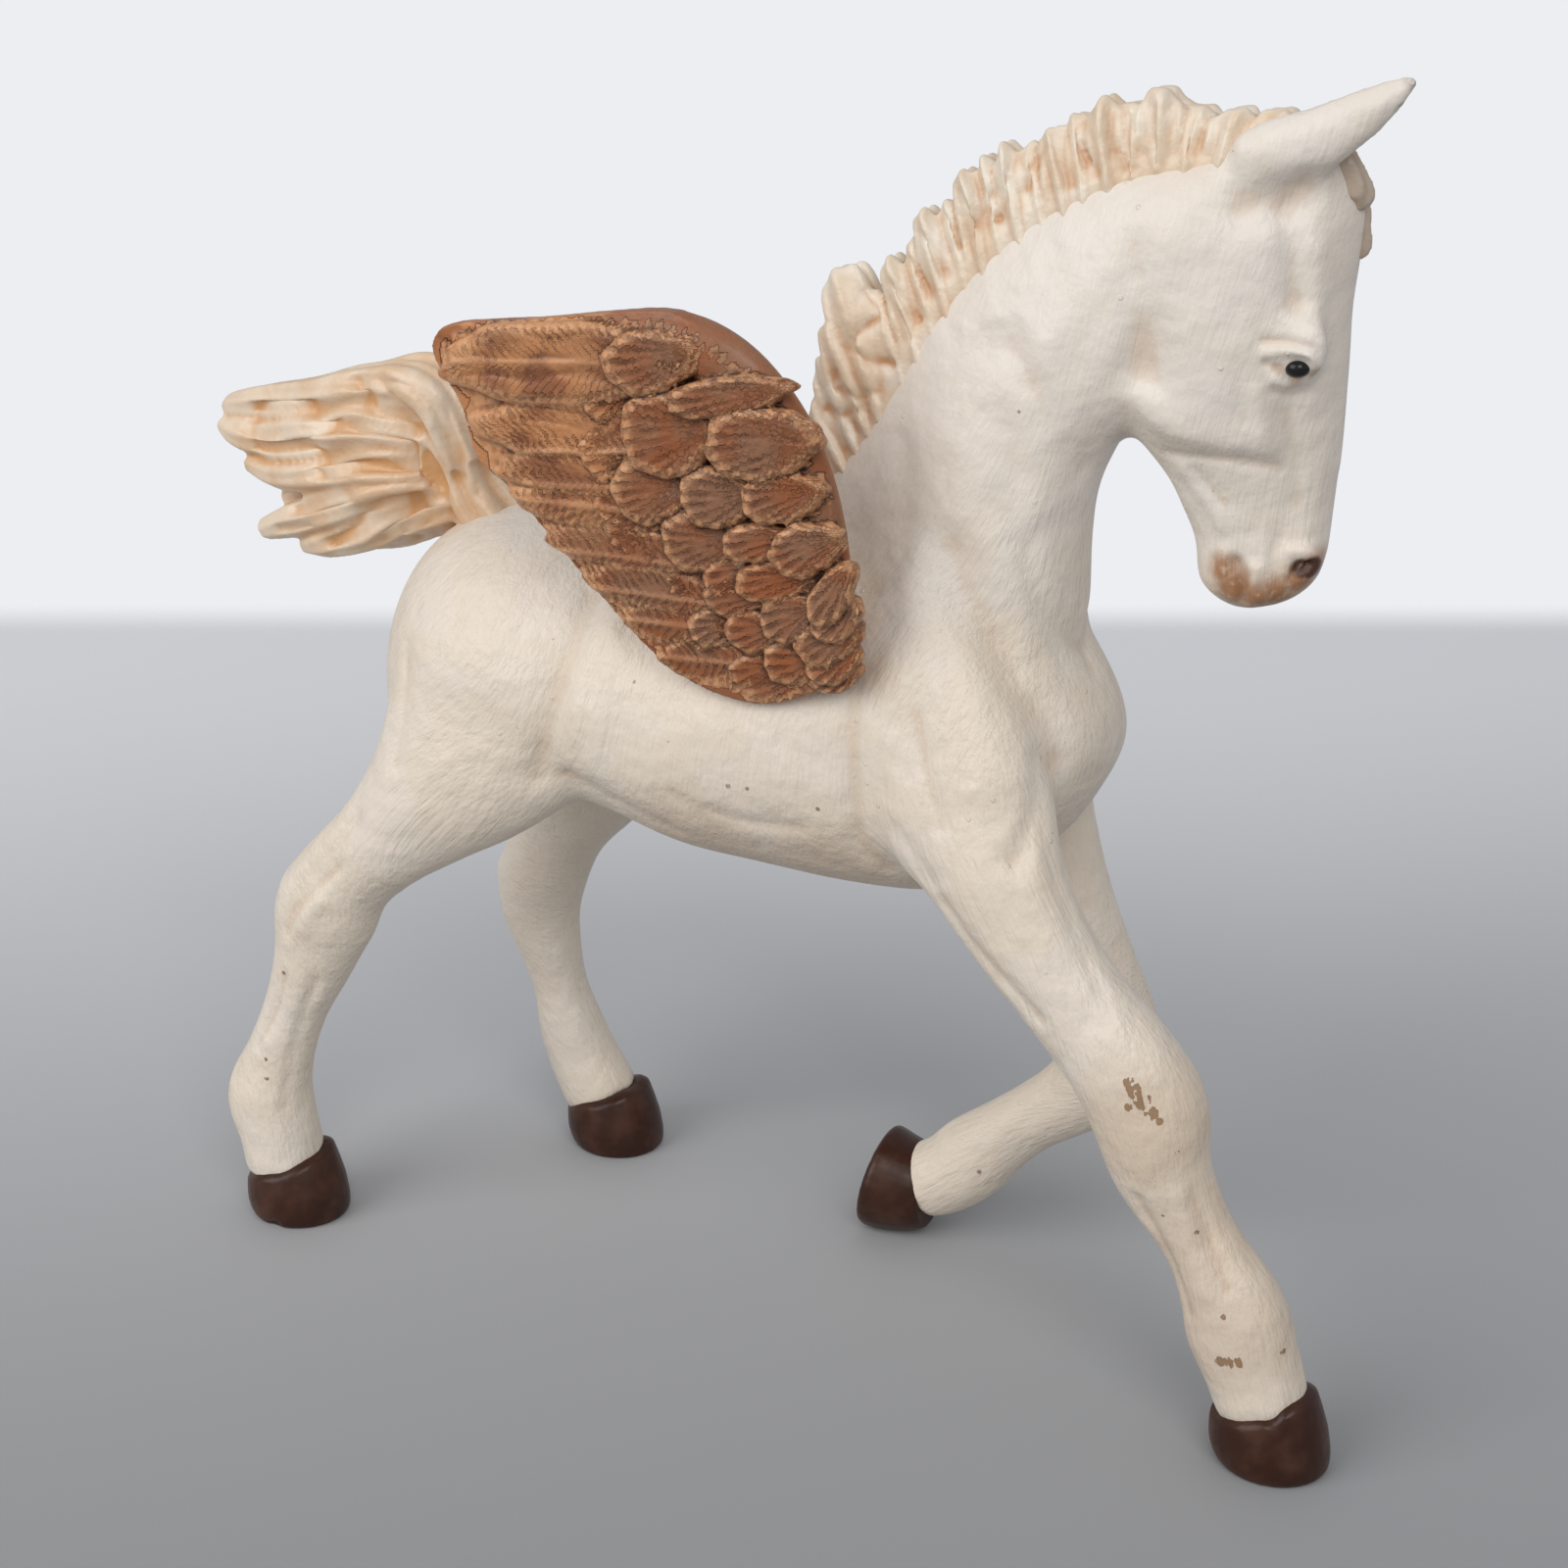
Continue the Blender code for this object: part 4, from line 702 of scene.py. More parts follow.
# Painted shade in dull tan on the near fore leg, under the belly and by the near wing: x, y, z, radius
PAINTED_SHADE_SPOTS = (
    (35.0, -14.0, 17.0, 5.0), (37.0, -14.0, 11.0, 5.0), (31.0, -14.0, 25.0, 4.6),
    (-6.0, -10.0, 37.0, 6.0), (4.0, -10.0, 37.0, 5.0), (8.6, -12.0, 54.6, 1.6),
)
# Dark specks in the paint: x, y, z, radius
SPECKS = (
    (11.0, 5.5, 7.9, 0.22), (-26.4, 8.5, 8.6, 0.24), (-42.7, -13.0, 23.1, 0.2), (14.2, -6.0, 78.5, 0.14),
    (16.6, -6.0, 72.7, 0.14), (24.2, -6.0, 74.3, 0.16), (21.6, -8.0, 63.7, 0.15),
    (-2.4, -12.0, 45.0, 0.2), (-0.9, -12.0, 45.0, 0.16), (4.5, -12.0, 44.1, 0.18),
    (-10.5, -12.0, 51.6, 0.16), (-20.0, -12.0, 47.0, 0.15), (8.9, -8.0, 62.4, 0.14),
)
# Orange tan rubbed over the muzzle, in the head plane: s, t, z, radius
MUZZLE_PATCHES = (
    (3.6, -3.0, 62.2, 1.1), (4.4, -3.2, 60.9, 1.5), (6.0, -3.2, 60.2, 1.4), (7.4, -3.0, 60.6, 1.4),
    (8.8, -2.8, 61.6, 1.3), (10.2, -2.4, 62.6, 1.2),
)
NOSTRILS = (
    (8.9, -3.0, 62.5, 0.75), (9.7, -2.6, 62.6, 0.85), (10.4, -2.2, 62.4, 0.75),
)
LID_CORNERS = (
    (6.5, -4.8, 76.5, 0.5), (7.7, -4.9, 75.5, 0.55), (8.8, -4.6, 76.3, 0.45), (7.6, -4.9, 77.5, 0.4),
)
EAR_TIPS = (
    (14.2, -5.0, 95.0, 1.0), (13.0, -4.8, 93.0, 0.5),
)
EAR_GREY = (0.20, 0.17, 0.15)
CREAM = (0.76, 0.665, 0.55)
ROSE_WHITE = (0.79, 0.725, 0.655)
WASH_AND_SHADE = (0.56, 0.40, 0.27)
BARE_PLASTIC = (0.33, 0.20, 0.115)
SPECK = (0.14, 0.09, 0.06)
MUZZLE_TAN = (0.37, 0.165, 0.065)
NOSTRIL_BROWN = (0.075, 0.028, 0.012)


def on_head(table):
    """Spots of the head plane as spots of the figure, on both sides."""
    out = []
    for s, t, z, radius in table:
        out.append((*head_place((s, t, z)), radius))
        out.append((*head_place((s, -t, z)), radius))
    return out


skin = Finish("satin_cream_paint", 0.42)
brush = skin.noted("brush", "Vector")
recess = skin.noted("recess")
hollow = skin.noted("hollow")
strokes = skin.grain(0.42, 3.0, brush, 0.6)
cloud = skin.grain(9.0, 3.0)
patch = skin.grain(3.0, 3.0)
worn = skin.grain(0.55, 3.0)
height = skin.split(skin.place)[2]
tint = (height.cut(52.0, 74.0) * 0.8 + cloud.cut(0.42, 0.6) * 0.5 - 0.15).held()
colour = skin.blend(tint, CREAM, ROSE_WHITE)
# Tan in the recesses and hollows, part paint wash and part painted shade, with uneven patches and the
# painted shade spots
wash_and_shade = recess.cut(0.010, 0.10) * 0.26 + hollow.cut(0.04, 0.45) * 0.16 + patch.cut(0.55, 0.8) * 0.10
wash_and_shade = wash_and_shade + skin.spots(PAINTED_SHADE_SPOTS, 0.6, 2.0) * 0.42
colour = skin.blend((wash_and_shade + strokes.cut(0.5, 0.8) * 0.08).held(), colour, WASH_AND_SHADE)
muzzle = skin.spots(on_head(MUZZLE_PATCHES), 0.7, 1.5) * (worn.cut(0.25, 0.5) * 0.35 + 0.6)
colour = skin.blend(muzzle, colour, MUZZLE_TAN)
colour = skin.blend(skin.spots(on_head(LID_CORNERS), 0.5) * 0.45, colour, MUZZLE_TAN)
tips = skin.spots(on_head(EAR_TIPS), 0.6) * worn.cut(0.35, 0.6) * 0.8
colour = skin.blend(tips, colour, EAR_GREY)
colour = skin.blend(skin.spots(on_head(NOSTRILS), 0.25), colour, NOSTRIL_BROWN)
fleck = skin.dots(4.2, 0.14) * patch.cut(0.52, 0.56)
fleck = (fleck * 0.6).over(skin.spots(SPECKS, 0.4, 6.0) * worn.cut(0.3, 0.5) * 0.8)
colour = skin.blend(fleck, colour, SPECK)
chips = (skin.spots(CHIPS, 0.8, 6.0) * (worn * 1.2 + strokes * 2.2 - 1.0)).cut(0.42, 0.50)
colour = skin.blend(chips, colour, BARE_PLASTIC)
skin.wire(Base_Color=colour)
lumps = skin.grain(1.6, 3.0)
pimples = skin.dots(1.9, 0.20) * patch.cut(0.5, 0.62)
relief = skin.bump(strokes * (1 - height.cut(58.0, 74.0) * 0.6), 0.15)
relief = skin.bump(lumps, 0.18, relief)
relief = skin.bump(skin.grain(5.0, 2.0), 0.55, relief)
relief = skin.bump(pimples - chips * 1.4, 0.05, relief)
skin.wire(Normal=relief, Roughness=strokes * 0.16 + 0.34)
seat(body, skin)

# Hooves
# Four hooves cast with the legs, under a hand-painted coat of glossy chocolate brown that ends in
# an uneven line at the coronet. The folded fore hoof rests on its toe wall.
HOOF_HALF_LENGTH = 4.3
HOOF_HALF_WIDTH = 4.1
HOOF_HEIGHT = 4.9
HOOF_TILT = 0.4
# Wall of a hoof: share of the height, share of the sole
HOOF_PROFILE = (
    (0.0, 0.88), (0.05, 0.94), (0.2, 0.98), (0.45, 0.98), (0.7, 0.93), (0.92, 0.87), (1.0, 0.72),
)
# Notch of the near fore hoof's coronet: angle round the hoof, depth, half width in radians
CORONET_NOTCH = (-1.12, 0.6, 0.16)
# Sole x, share of the track, coronet x, toe turn in degrees, side
STANDING_HOOVES = (
    (40.5, 1.0, 39.4, 0.0, -1), (-44.1, 1.02, -45.2, 20.0, -1), (-25.8, 1.05, -27.0, 0.0, 1),
)
FOLDED_HOOF = (
    (5.8, 4.0, 3.3), (4.8, 4.0, 3.8), (2.8, 4.1, 4.3), (1.4, 4.3, 4.5), (0.9, 4.4, 4.1),
)
FOLDED_HOOF_TRACK = 0.77
# Crease below the notch of the near fore hoof, and the small chip of the near hind one
HOOF_LINES = (
    (0.35, -0.16, ((42.0, 4.2), (42.2, 3.0), (42.4, 1.2))),
    (0.45, -0.40, ((-44.6, 0.1), (-44.2, 0.3))),
)
HOOF_VOXEL = 0.2
HOOF_BROWN = (0.036, 0.011, 0.005)
HOOF_LIGHT = (0.080, 0.032, 0.018)

hoof_clay = Clay()
for sole_x, share, coronet_x, turn_deg, side in STANDING_HOOVES:
    turn = math.radians(turn_deg)
    toe = np.array([math.cos(turn), math.sin(turn), 0.0])
    across = np.array([-math.sin(turn), math.cos(turn), 0.0])
    angles = np.linspace(0, 2 * math.pi, RING_SIDES, endpoint=False)
    turned = (angles - CORONET_NOTCH[0] + math.pi) % (2 * math.pi) - math.pi
    uneven = 0.14 * np.sin(2 * angles + sole_x) + 0.10 * np.sin(5 * angles + 2 * sole_x)
    if sole_x > 0:
        uneven -= CORONET_NOTCH[1] * np.exp(-(turned / CORONET_NOTCH[2]) ** 2)
    rings = []
    for up, grow in HOOF_PROFILE:
        centre = np.array([sole_x + (coronet_x - sole_x) * up, share * side * LEG_TRACK, up * HOOF_HEIGHT])
        points = ring(centre, toe * HOOF_HALF_LENGTH * grow, across * HOOF_HALF_WIDTH * grow)
        points[:, 2] += up * HOOF_TILT * ((points - centre) @ toe) + up ** 3 * uneven
        rings.append(points)
    hoof_clay.tube(rings)
folded_y = FOLDED_HOOF_TRACK * LEG_TRACK
hoof_clay.limb([(x, folded_y, z, half, HOOF_HALF_WIDTH * half / FOLDED_HOOF[2][2])
                for x, z, half in FOLDED_HOOF])
hooves = hoof_clay.press("hooves", HOOF_VOXEL)
smooth(hooves, 4)
cut_lines(hooves, HOOF_LINES, (-1,))
points = read_points(hooves)
points[:, 2] = np.maximum(points[:, 2], 0.0)
write_points(hooves, points)
horn = Finish("chocolate_hoof_paint", 0.36, coat=0.12, coat_roughness=0.22, specular=0.25)
tone = horn.grain(2.4, 3.0)
colour = horn.blend(tone.cut(0.4, 0.75) * 0.7, HOOF_BROWN, HOOF_LIGHT)
horn.wire(Base_Color=colour, Roughness=tone * 0.2 + 0.26)
horn.wire(Normal=horn.bump(horn.grain(0.9, 3.0), 0.05))
seat(hooves, horn)

# Eyes
# Two small oval balls cast in their sockets in one with the head, sunk a little below the lids and
# painted gloss black by hand.
EYE_SIZE = (0.86, 0.80, 0.66)
EYE_SINK = 0.34
EYE_BLACK = (0.006, 0.006, 0.008)
EYE_GLOSS = (0.020, 0.018, 0.018)
eye_clay = Clay()
for side, (s, t, z) in eye_places.items():
    eye_clay.ball(head_place((s, t - side * EYE_SINK, z)), EYE_SIZE)
eyes = placed("eyes", eye_clay.mesh("eyes"))
pupil = Finish("gloss_black_eye_paint", 0.15, coat=0.15, coat_roughness=0.05, specular=0.2)
pupil.wire(Base_Color=pupil.blend(pupil.grain(0.5), EYE_BLACK, EYE_GLOSS))
seat(eyes, pupil)

# Wings
# A carved blade on each flank: a smooth thick leading arm, long flight feathers that fan back from
# it, and rows of round scale feathers over their roots, in russet paint with tan dry-brushed on its
# raised parts, painted highlights on its rims and painted shade in its cuts and hollows.
WING_ROOT_Z = 54.0
WING_LEAN = 0.15
FAR_WING_LEAN = 0.03
WING_SEAT = 0.6
WING_PLATE = 1.7
ARM_HALF_THICKNESS = 1.8
FEATHER_HALF_THICKNESS = 0.7
FAR_WING_SWEEP = math.radians(62.0)
WING_PIVOT = np.array([2.0, 0.0, 56.0])
WING_BOSS = (0.5, -TORSO_HALF_WIDTH * 0.76, 56.5)
WING_BOSS_SIZES = (6.4, 3.4, 4.4)
NEAR_WING_VOXEL = 0.155
FAR_WING_VOXEL = 0.2
FAN_CUTS_PER_MM = 8.0
BARB_PITCH = 0.72
FAN_DEPTH = 0.14
BARB_DEPTH = 0.15
BARB_SLANT = 0.75
RIM_HEIGHT = 0.09
RIM_PLACE = 0.82
RIM_WIDTH = 0.12
QUILL_HEIGHT = 0.12
QUILL_RADIUS = 0.22
BEAD_RADIUS = 0.26
BEAD_LEVEL = 1.15
BEAD_STEPS = 6
BEAD_SIZE_SWING = 0.25
BEAD_PLACE_SWING = 0.1
BEAD_MARKS = (0.0, 0.9, 0.0, 1.0)
OUTLINE_STEPS = 4
# Beads along the top of the leading arm: x, z
WING_BEADS = (
    (3.2, 73.6), (0.2, 76.4), (-3.6, 78.2), (-8.0, 78.3), (-12.4, 77.8), (-17.0, 77.3), (-20.6, 76.8),
)
# Blade outline: x, z
WING_OUTLINE = (
    (7.0, 54.8), (7.6, 59.6), (7.2, 64.0), (6.4, 68.8), (5.0, 72.2), (2.8, 75.2), (-0.8, 78.0),
    (-4.2, 79.6), (-9.4, 79.2), (-14.2, 78.5), (-19.0, 78.0), (-22.4, 77.4), (-23.6, 75.4),
    (-21.8, 71.8), (-21.0, 68.0), (-18.4, 65.8), (-15.8, 62.8), (-11.8, 58.4), (-8.8, 55.2),
    (-5.0, 52.6), (0.0, 51.6), (4.4, 53.0),
)
# Leading arm: x, z, half width in the blade, share of the half thickness
WING_ARM = (
    (3.6, 54.0, 2.6, 0.5), (5.2, 58.0, 2.4, 0.65), (5.4, 63.5, 2.2, 0.7), (4.6, 68.5, 2.2, 0.72),
    (2.8, 72.6, 2.2, 0.8), (-0.4, 76.0, 2.2, 0.9), (-4.4, 77.7, 1.9, 0.95), (-10.0, 77.6, 1.5, 0.8),
    (-16.0, 77.0, 1.3, 0.7), (-21.6, 76.4, 1.2, 0.6),
)
# Flight feathers: root x, z, tip x, z, half width, level above the blade, place of the quill
FLIGHT = (
    (-2.0, 76.2, -23.0, 74.9, 2.9, 1.3, -0.05), (-3.0, 71.6, -21.2, 70.2, 2.1, 0.85, 0.75),
    (-4.0, 68.2, -19.6, 67.5, 1.8, 0.7, 0.6), (-3.0, 65.2, -18.2, 65.3, 1.8, 0.6, 0.0),
    (-2.0, 62.2, -16.0, 62.5, 1.7, 0.55, 0.4), (-1.0, 59.4, -13.2, 59.7, 1.7, 0.5, 0.3),
    (-0.5, 57.0, -10.4, 57.0, 1.6, 0.42, 0.0), (0.0, 54.6, -7.8, 54.4, 1.6, 0.36, 0.0),
)
# Scale feathers: root x, z, tip x, z, half width, level above the blade at the tip
SCALES = (
    (-6.2, 63.2, -7.6, 61.6, 1.0, 0.5), (-3.0, 60.8, -6.2, 60.0, 1.1, 0.55),
    (-3.0, 59.4, -6.2, 58.0, 1.1, 0.45), (-1.0, 55.8, -4.4, 54.8, 1.1, 0.5),
    (-2.0, 57.2, -5.4, 56.0, 1.2, 0.45), (4.6, 54.4, -0.6, 52.6, 1.2, 0.55),
    (8.0, 55.4, 4.6, 53.8, 1.3, 0.6), (2.4, 54.9, -1.8, 53.6, 1.2, 0.7),
    (-5.8, 63.9, -10.6, 63.2, 1.5, 0.7), (-8.2, 65.9, -11.5, 65.2, 1.1, 0.75),
    (-7.4, 74.2, -11.3, 72.8, 1.7, 1.2), (-7.2, 70.0, -12.0, 68.6, 2.0, 1.05),
    (-0.6, 57.9, -4.6, 56.5, 1.5, 0.85), (5.8, 56.2, 1.0, 54.6, 1.6, 0.95),
    (2.6, 58.0, -1.7, 56.7, 1.6, 1.05), (0.6, 62.2, -3.0, 60.3, 1.2, 1.1),
    (-0.2, 64.0, -6.0, 63.0, 2.3, 1.15), (-3.6, 67.6, -9.5, 66.4, 2.5, 1.35),
    (1.6, 60.1, -3.1, 59.4, 1.5, 1.1), (8.6, 58.6, 4.0, 56.2, 1.7, 1.3),
    (-1.6, 77.4, -9.1, 75.2, 2.1, 1.9), (5.6, 59.9, 1.3, 57.8, 1.7, 1.45),
    (5.8, 62.4, -0.4, 60.5, 1.5, 1.45), (1.6, 67.8, -4.2, 66.3, 2.1, 1.6),
    (-0.8, 72.2, -8.3, 70.4, 2.9, 1.85), (4.2, 64.9, -1.0, 63.4, 1.4, 1.7),
    (8.6, 63.4, 5.4, 58.7, 1.3, 1.9), (6.8, 68.6, 0.9, 66.6, 1.8, 1.95),
    (5.0, 75.4, -4.1, 73.4, 1.4, 2.15), (8.0, 65.2, 2.8, 63.1, 1.9, 2.05),
    (6.8, 72.4, -1.4, 70.2, 2.6, 2.2), (8.2, 57.0, 4.6, 54.4, 1.4, 1.05),
    (8.6, 60.8, 5.6, 57.6, 1.4, 1.6),
)


def wing_points(local, lean):
    """From blade x, level above the outer face and z to the figure, for the near wing."""
    x, level, z = np.asarray(local, dtype=float).T
    y = -(TORSO_HALF_WIDTH - WING_SEAT + lean * (z - WING_ROOT_Z)) - level
    return np.stack([x, y, z], axis=-1)


def seed_at(a, b, span):
    """A number below the span that differs from place to place and is the same in each run."""
    return (a * 12.9898 + b * 78.233) % span


def flattened(z, gain, power):
    """Heights of a ball with its top and bottom pressed flat."""
    return np.sign(z) * np.minimum(1.0, gain * np.abs(z)) ** power


def wobble(seed, angle):
    """A small unevenness round an edge, as a hand carves it."""
    broad = 0.045 * np.sin(2 * angle + seed) + 0.03 * np.sin(5 * angle + 2.3 * seed)
    return 1 + broad + 0.03 * np.sin(9 * angle + 3.1 * seed)


def fan_turn(x, y, seed, width, length, quill):
    """Turn of the cuts that spread from the root of a scale feather to its rim."""
    angle = np.arctan2(y * width, (x + 1.25) * length / 2)
    count = FAN_CUTS_PER_MM * length * (1 + 0.1 * math.sin(seed))
    return angle * count + 0.7 * np.sin(4 * np.hypot(x, y) + seed) + seed


def barb_turn(x, y, seed, width, length, quill):
    """Turn of the slanting cuts on both sides of a quill."""
    run = x * length / 2
    away = (y - quill) * width
    bend = 0.8 * np.sin(0.9 * run + 2 * away + seed)
    return (run - BARB_SLANT * np.abs(away)) * 2 * math.pi / BARB_PITCH + bend + seed


def feather(clay, lean, root, tip, half_width, level, turn_of, quill=None, taper=0.22, sink=0.9,
            ball_level=5):
    """One flat feather with a rounded tip, sunk at its root and cut with lines on its face."""
    unit, faces = unit_ball(ball_level)
    seed = seed_at(*root, 5.3) + 0.9
    x, y, z = unit.T
    length = math.dist(root, tip)
    angle = np.arctan2(y, x)
    edge = wobble(seed, angle)
    along = x * length / 2 * edge
    aside = y * half_width * (1 + taper * x) * edge
    turn = turn_of(x, y, seed, half_width, length, quill or 0.0)
    rim = np.hypot(x, y)
    quill_line = 0 * x if quill is None else np.exp(-((y - quill) * half_width / QUILL_RADIUS) ** 2)
    fade = np.clip((x + 1.0) / 0.5, 0, 1) * (1 - quill_line)
    depth = FAN_DEPTH if quill is None else BARB_DEPTH
    face = np.clip(z / 0.4, 0, 1)
    carving = (RIM_HEIGHT * np.exp(-((rim - RIM_PLACE) / RIM_WIDTH) ** 2) + QUILL_HEIGHT * quill_line
               - depth * np.clip(np.sin(turn), 0, 1) * fade)
    lift = flattened(z, 1.35, 0.55) * FEATHER_HALF_THICKNESS + face * carving
    step = (np.array(tip) - np.array(root)) / length
    middle = (np.array(tip) + np.array(root)) / 2
    plan_x = middle[0] + step[0] * along - step[1] * aside
    plan_z = middle[1] + step[1] * along + step[0] * aside
    height = level - sink * (1 - x) / 2 + lift
    marks = np.stack([turn, rim, quill_line, 0 * x + seed], axis=-1) * (z > -0.3)[:, None]
    clay.add(wing_points(np.stack([plan_x, height, plan_z], axis=-1), lean), faces, marks=marks)


def note_plumes(item, clay):
    """Give each point of the pressed wing the marks of the nearest feather point."""
    source = np.vstack(clay.points)
    marks = np.vstack(clay.marks)
    tree = KDTree(len(source))
    for i, point in enumerate(source):
        tree.insert(point, i)
    tree.balance()
    nearest = [tree.find(point)[1] for point in read_points(item)]
    note(item, "plume", marks[nearest, :3])
    note(item, "feather", marks[nearest, 3])


def carve_wing(name, voxel, lean):
    clay = Clay()
    outline = curve_rows(WING_OUTLINE + WING_OUTLINE[:1], OUTLINE_STEPS)[:-1]
    rings = []
    for level in (-WING_PLATE / 2, WING_PLATE / 2):
        rings.append(wing_points([(x, level, z) for x, z in outline], lean))
    clay.tube(rings)
    arm = [(*wing_points((x, 0.0, z), lean), a, share * ARM_HALF_THICKNESS) for x, z, a, share in WING_ARM]
    clay.limb(arm, (0.0, -1.0, -lean))
    for x0, z0, x1, z1, half_width, level, quill in FLIGHT:
        feather(clay, lean, (x0, z0), (x1, z1), half_width, level, barb_turn, quill, taper=0.08, sink=0.25)
    for x0, z0, x1, z1, half_width, level in SCALES:
        feather(clay, lean, (x0, z0), (x1, z1), half_width, level, fan_turn, ball_level=4)
    unit, faces = unit_ball(2)
    for number, (x, z) in enumerate(curve_rows(WING_BEADS, BEAD_STEPS)):
        size = BEAD_RADIUS * (1 + BEAD_SIZE_SWING * math.sin(2.7 * number))
        middle = wing_points((x, BEAD_LEVEL, z + BEAD_PLACE_SWING * math.sin(1.9 * number)), lean)
        clay.add(unit * size + middle, faces, marks=np.tile(BEAD_MARKS, (len(unit), 1)))
    clay.ball(WING_BOSS, WING_BOSS_SIZES)
    wing = clay.press(name, voxel)
    note_plumes(wing, clay)
    smooth(wing, 1)
    return wing


RUSSET = (0.31, 0.098, 0.034)
ORANGE_RUSSET = (0.64, 0.28, 0.11)
WING_SHADE = (0.060, 0.022, 0.012)
TAN_AND_HIGHLIGHT = (0.66, 0.35, 0.175)
GREY_MAUVE = (0.27, 0.13, 0.072)
GOLD_FLECK = (0.50, 0.26, 0.10)

down = Finish("russet_paint_with_painted_light", 0.36, coat=0.2, coat_roughness=0.2, specular=0.25)
turn, rim, quill = down.split(down.noted("plume", "Vector"))
seed = down.noted("feather")
recess = down.noted("recess")
broad = down.noted("hollow")
mottle = down.grain(4.0, 3.0)
fine = down.grain(0.45, 3.0)
feathered = seed.cut(0.2, 0.6)
wander = down.grain(1.1, 2.0)
broken = down.grain(1.3, 2.0).cut(0.38, 0.58) * 0.6 + 0.4
back, _, high = down.split(down.place)
flight = (1 - back.cut(-8.0, 0.0)) * high.cut(60.0, 68.0)
cuts = (turn + wander * 3.0).sine().cut(-0.1, 0.85) * rim.cut(0.1, 0.4) * feathered * (1 - quill)
cuts = cuts * broken * (1 - rim.cut(0.84, 0.94) * flight)
edge = rim.cut(0.66, 0.86) * feathered
shade_of = (mottle.cut(0.4, 0.6) * 0.6 + (seed * 7.0).sine() * 0.25 + 0.2).held()
colour = down.blend(shade_of, RUSSET, GREY_MAUVE)
colour = down.blend(flight * mottle.cut(0.35, 0.55) * 0.7, colour, ORANGE_RUSSET)
raised = (1 - cuts) * (1 - recess.cut(-0.05, 0.0)) * (fine.cut(0.3, 0.6) * 0.7 + 0.3)
# Tan dry-brushed on the raised parts, and painted highlights on the rims and quills
tan_and_highlight = raised * mottle.cut(0.42, 0.6) * 0.25 + edge * fine.cut(0.3, 0.6) * 0.75 + quill * 0.3
colour = down.blend(tan_and_highlight.held(), colour, TAN_AND_HIGHLIGHT)
gold = down.dots(1.7, 0.22) * mottle.cut(0.5, 0.6)
colour = down.blend(gold * 0.6, colour, GOLD_FLECK)
deep = (recess.cut(0.0, 0.07) * 0.8 + broad.cut(0.02, 0.3) * 0.35 + cuts * 0.40).held()
colour = down.blend(deep, colour, WING_SHADE)
down.wire(Base_Color=colour, Roughness=fine * 0.2 + 0.30)
relief = down.bump(1 - cuts, 0.12)
relief = down.bump(down.grain(1.0, 3.0), 0.14, relief)
relief = down.bump(down.grain(0.3, 3.0), 0.05, relief)
down.wire(Normal=relief)

near_wing = carve_wing("wing_right", NEAR_WING_VOXEL, WING_LEAN)
note_hollows(near_wing, 7, 45)

far_wing = carve_wing("wing_left", FAR_WING_VOXEL, FAR_WING_LEAN)
points = read_points(far_wing) - WING_PIVOT
x, y, z = points.T
turned = np.stack([
    x * math.cos(FAR_WING_SWEEP) - z * math.sin(FAR_WING_SWEEP), -y,
    x * math.sin(FAR_WING_SWEEP) + z * math.cos(FAR_WING_SWEEP)], axis=-1)
write_points(far_wing, turned + WING_PIVOT)
far_wing.data.flip_normals()
note_hollows(far_wing, 4, 26)
seat(near_wing, down)
seat(far_wing, down)

# Mane and forelock
# A standing foal mane of ridged tufts along the crest, with one long leaf-shaped tuft at the
# withers, painted in gloss peach cream, and a jagged forelock on the brow, painted in dusty tan.
# Both are cast with the neck and the head.
MANE_HALF_WIDTH = 2.4
MANE_FIN_TAPER = -0.3
MANE_VOXEL = 0.17
# Crest fin under the tufts: top x, z, base x, z
MANE_FIN = (
    (33.2, 92.4, 31.0, 87.0), (30.6, 92.3, 29.0, 87.0), (27.4, 92.2, 26.4, 87.0),
    (23.6, 92.2, 23.4, 86.5), (20.0, 91.4, 20.6, 85.5), (16.6, 90.0, 18.0, 83.5),
    (13.2, 88.0, 15.0, 81.0), (10.0, 85.4, 12.2, 78.0), (7.2, 82.0, 9.6, 74.5), (4.8, 78.2, 7.6, 71.0),
    (2.6, 74.0, 5.8, 68.0), (0.6, 69.8, 3.8, 65.0), (-1.2, 66.4, 2.0, 62.0),
)
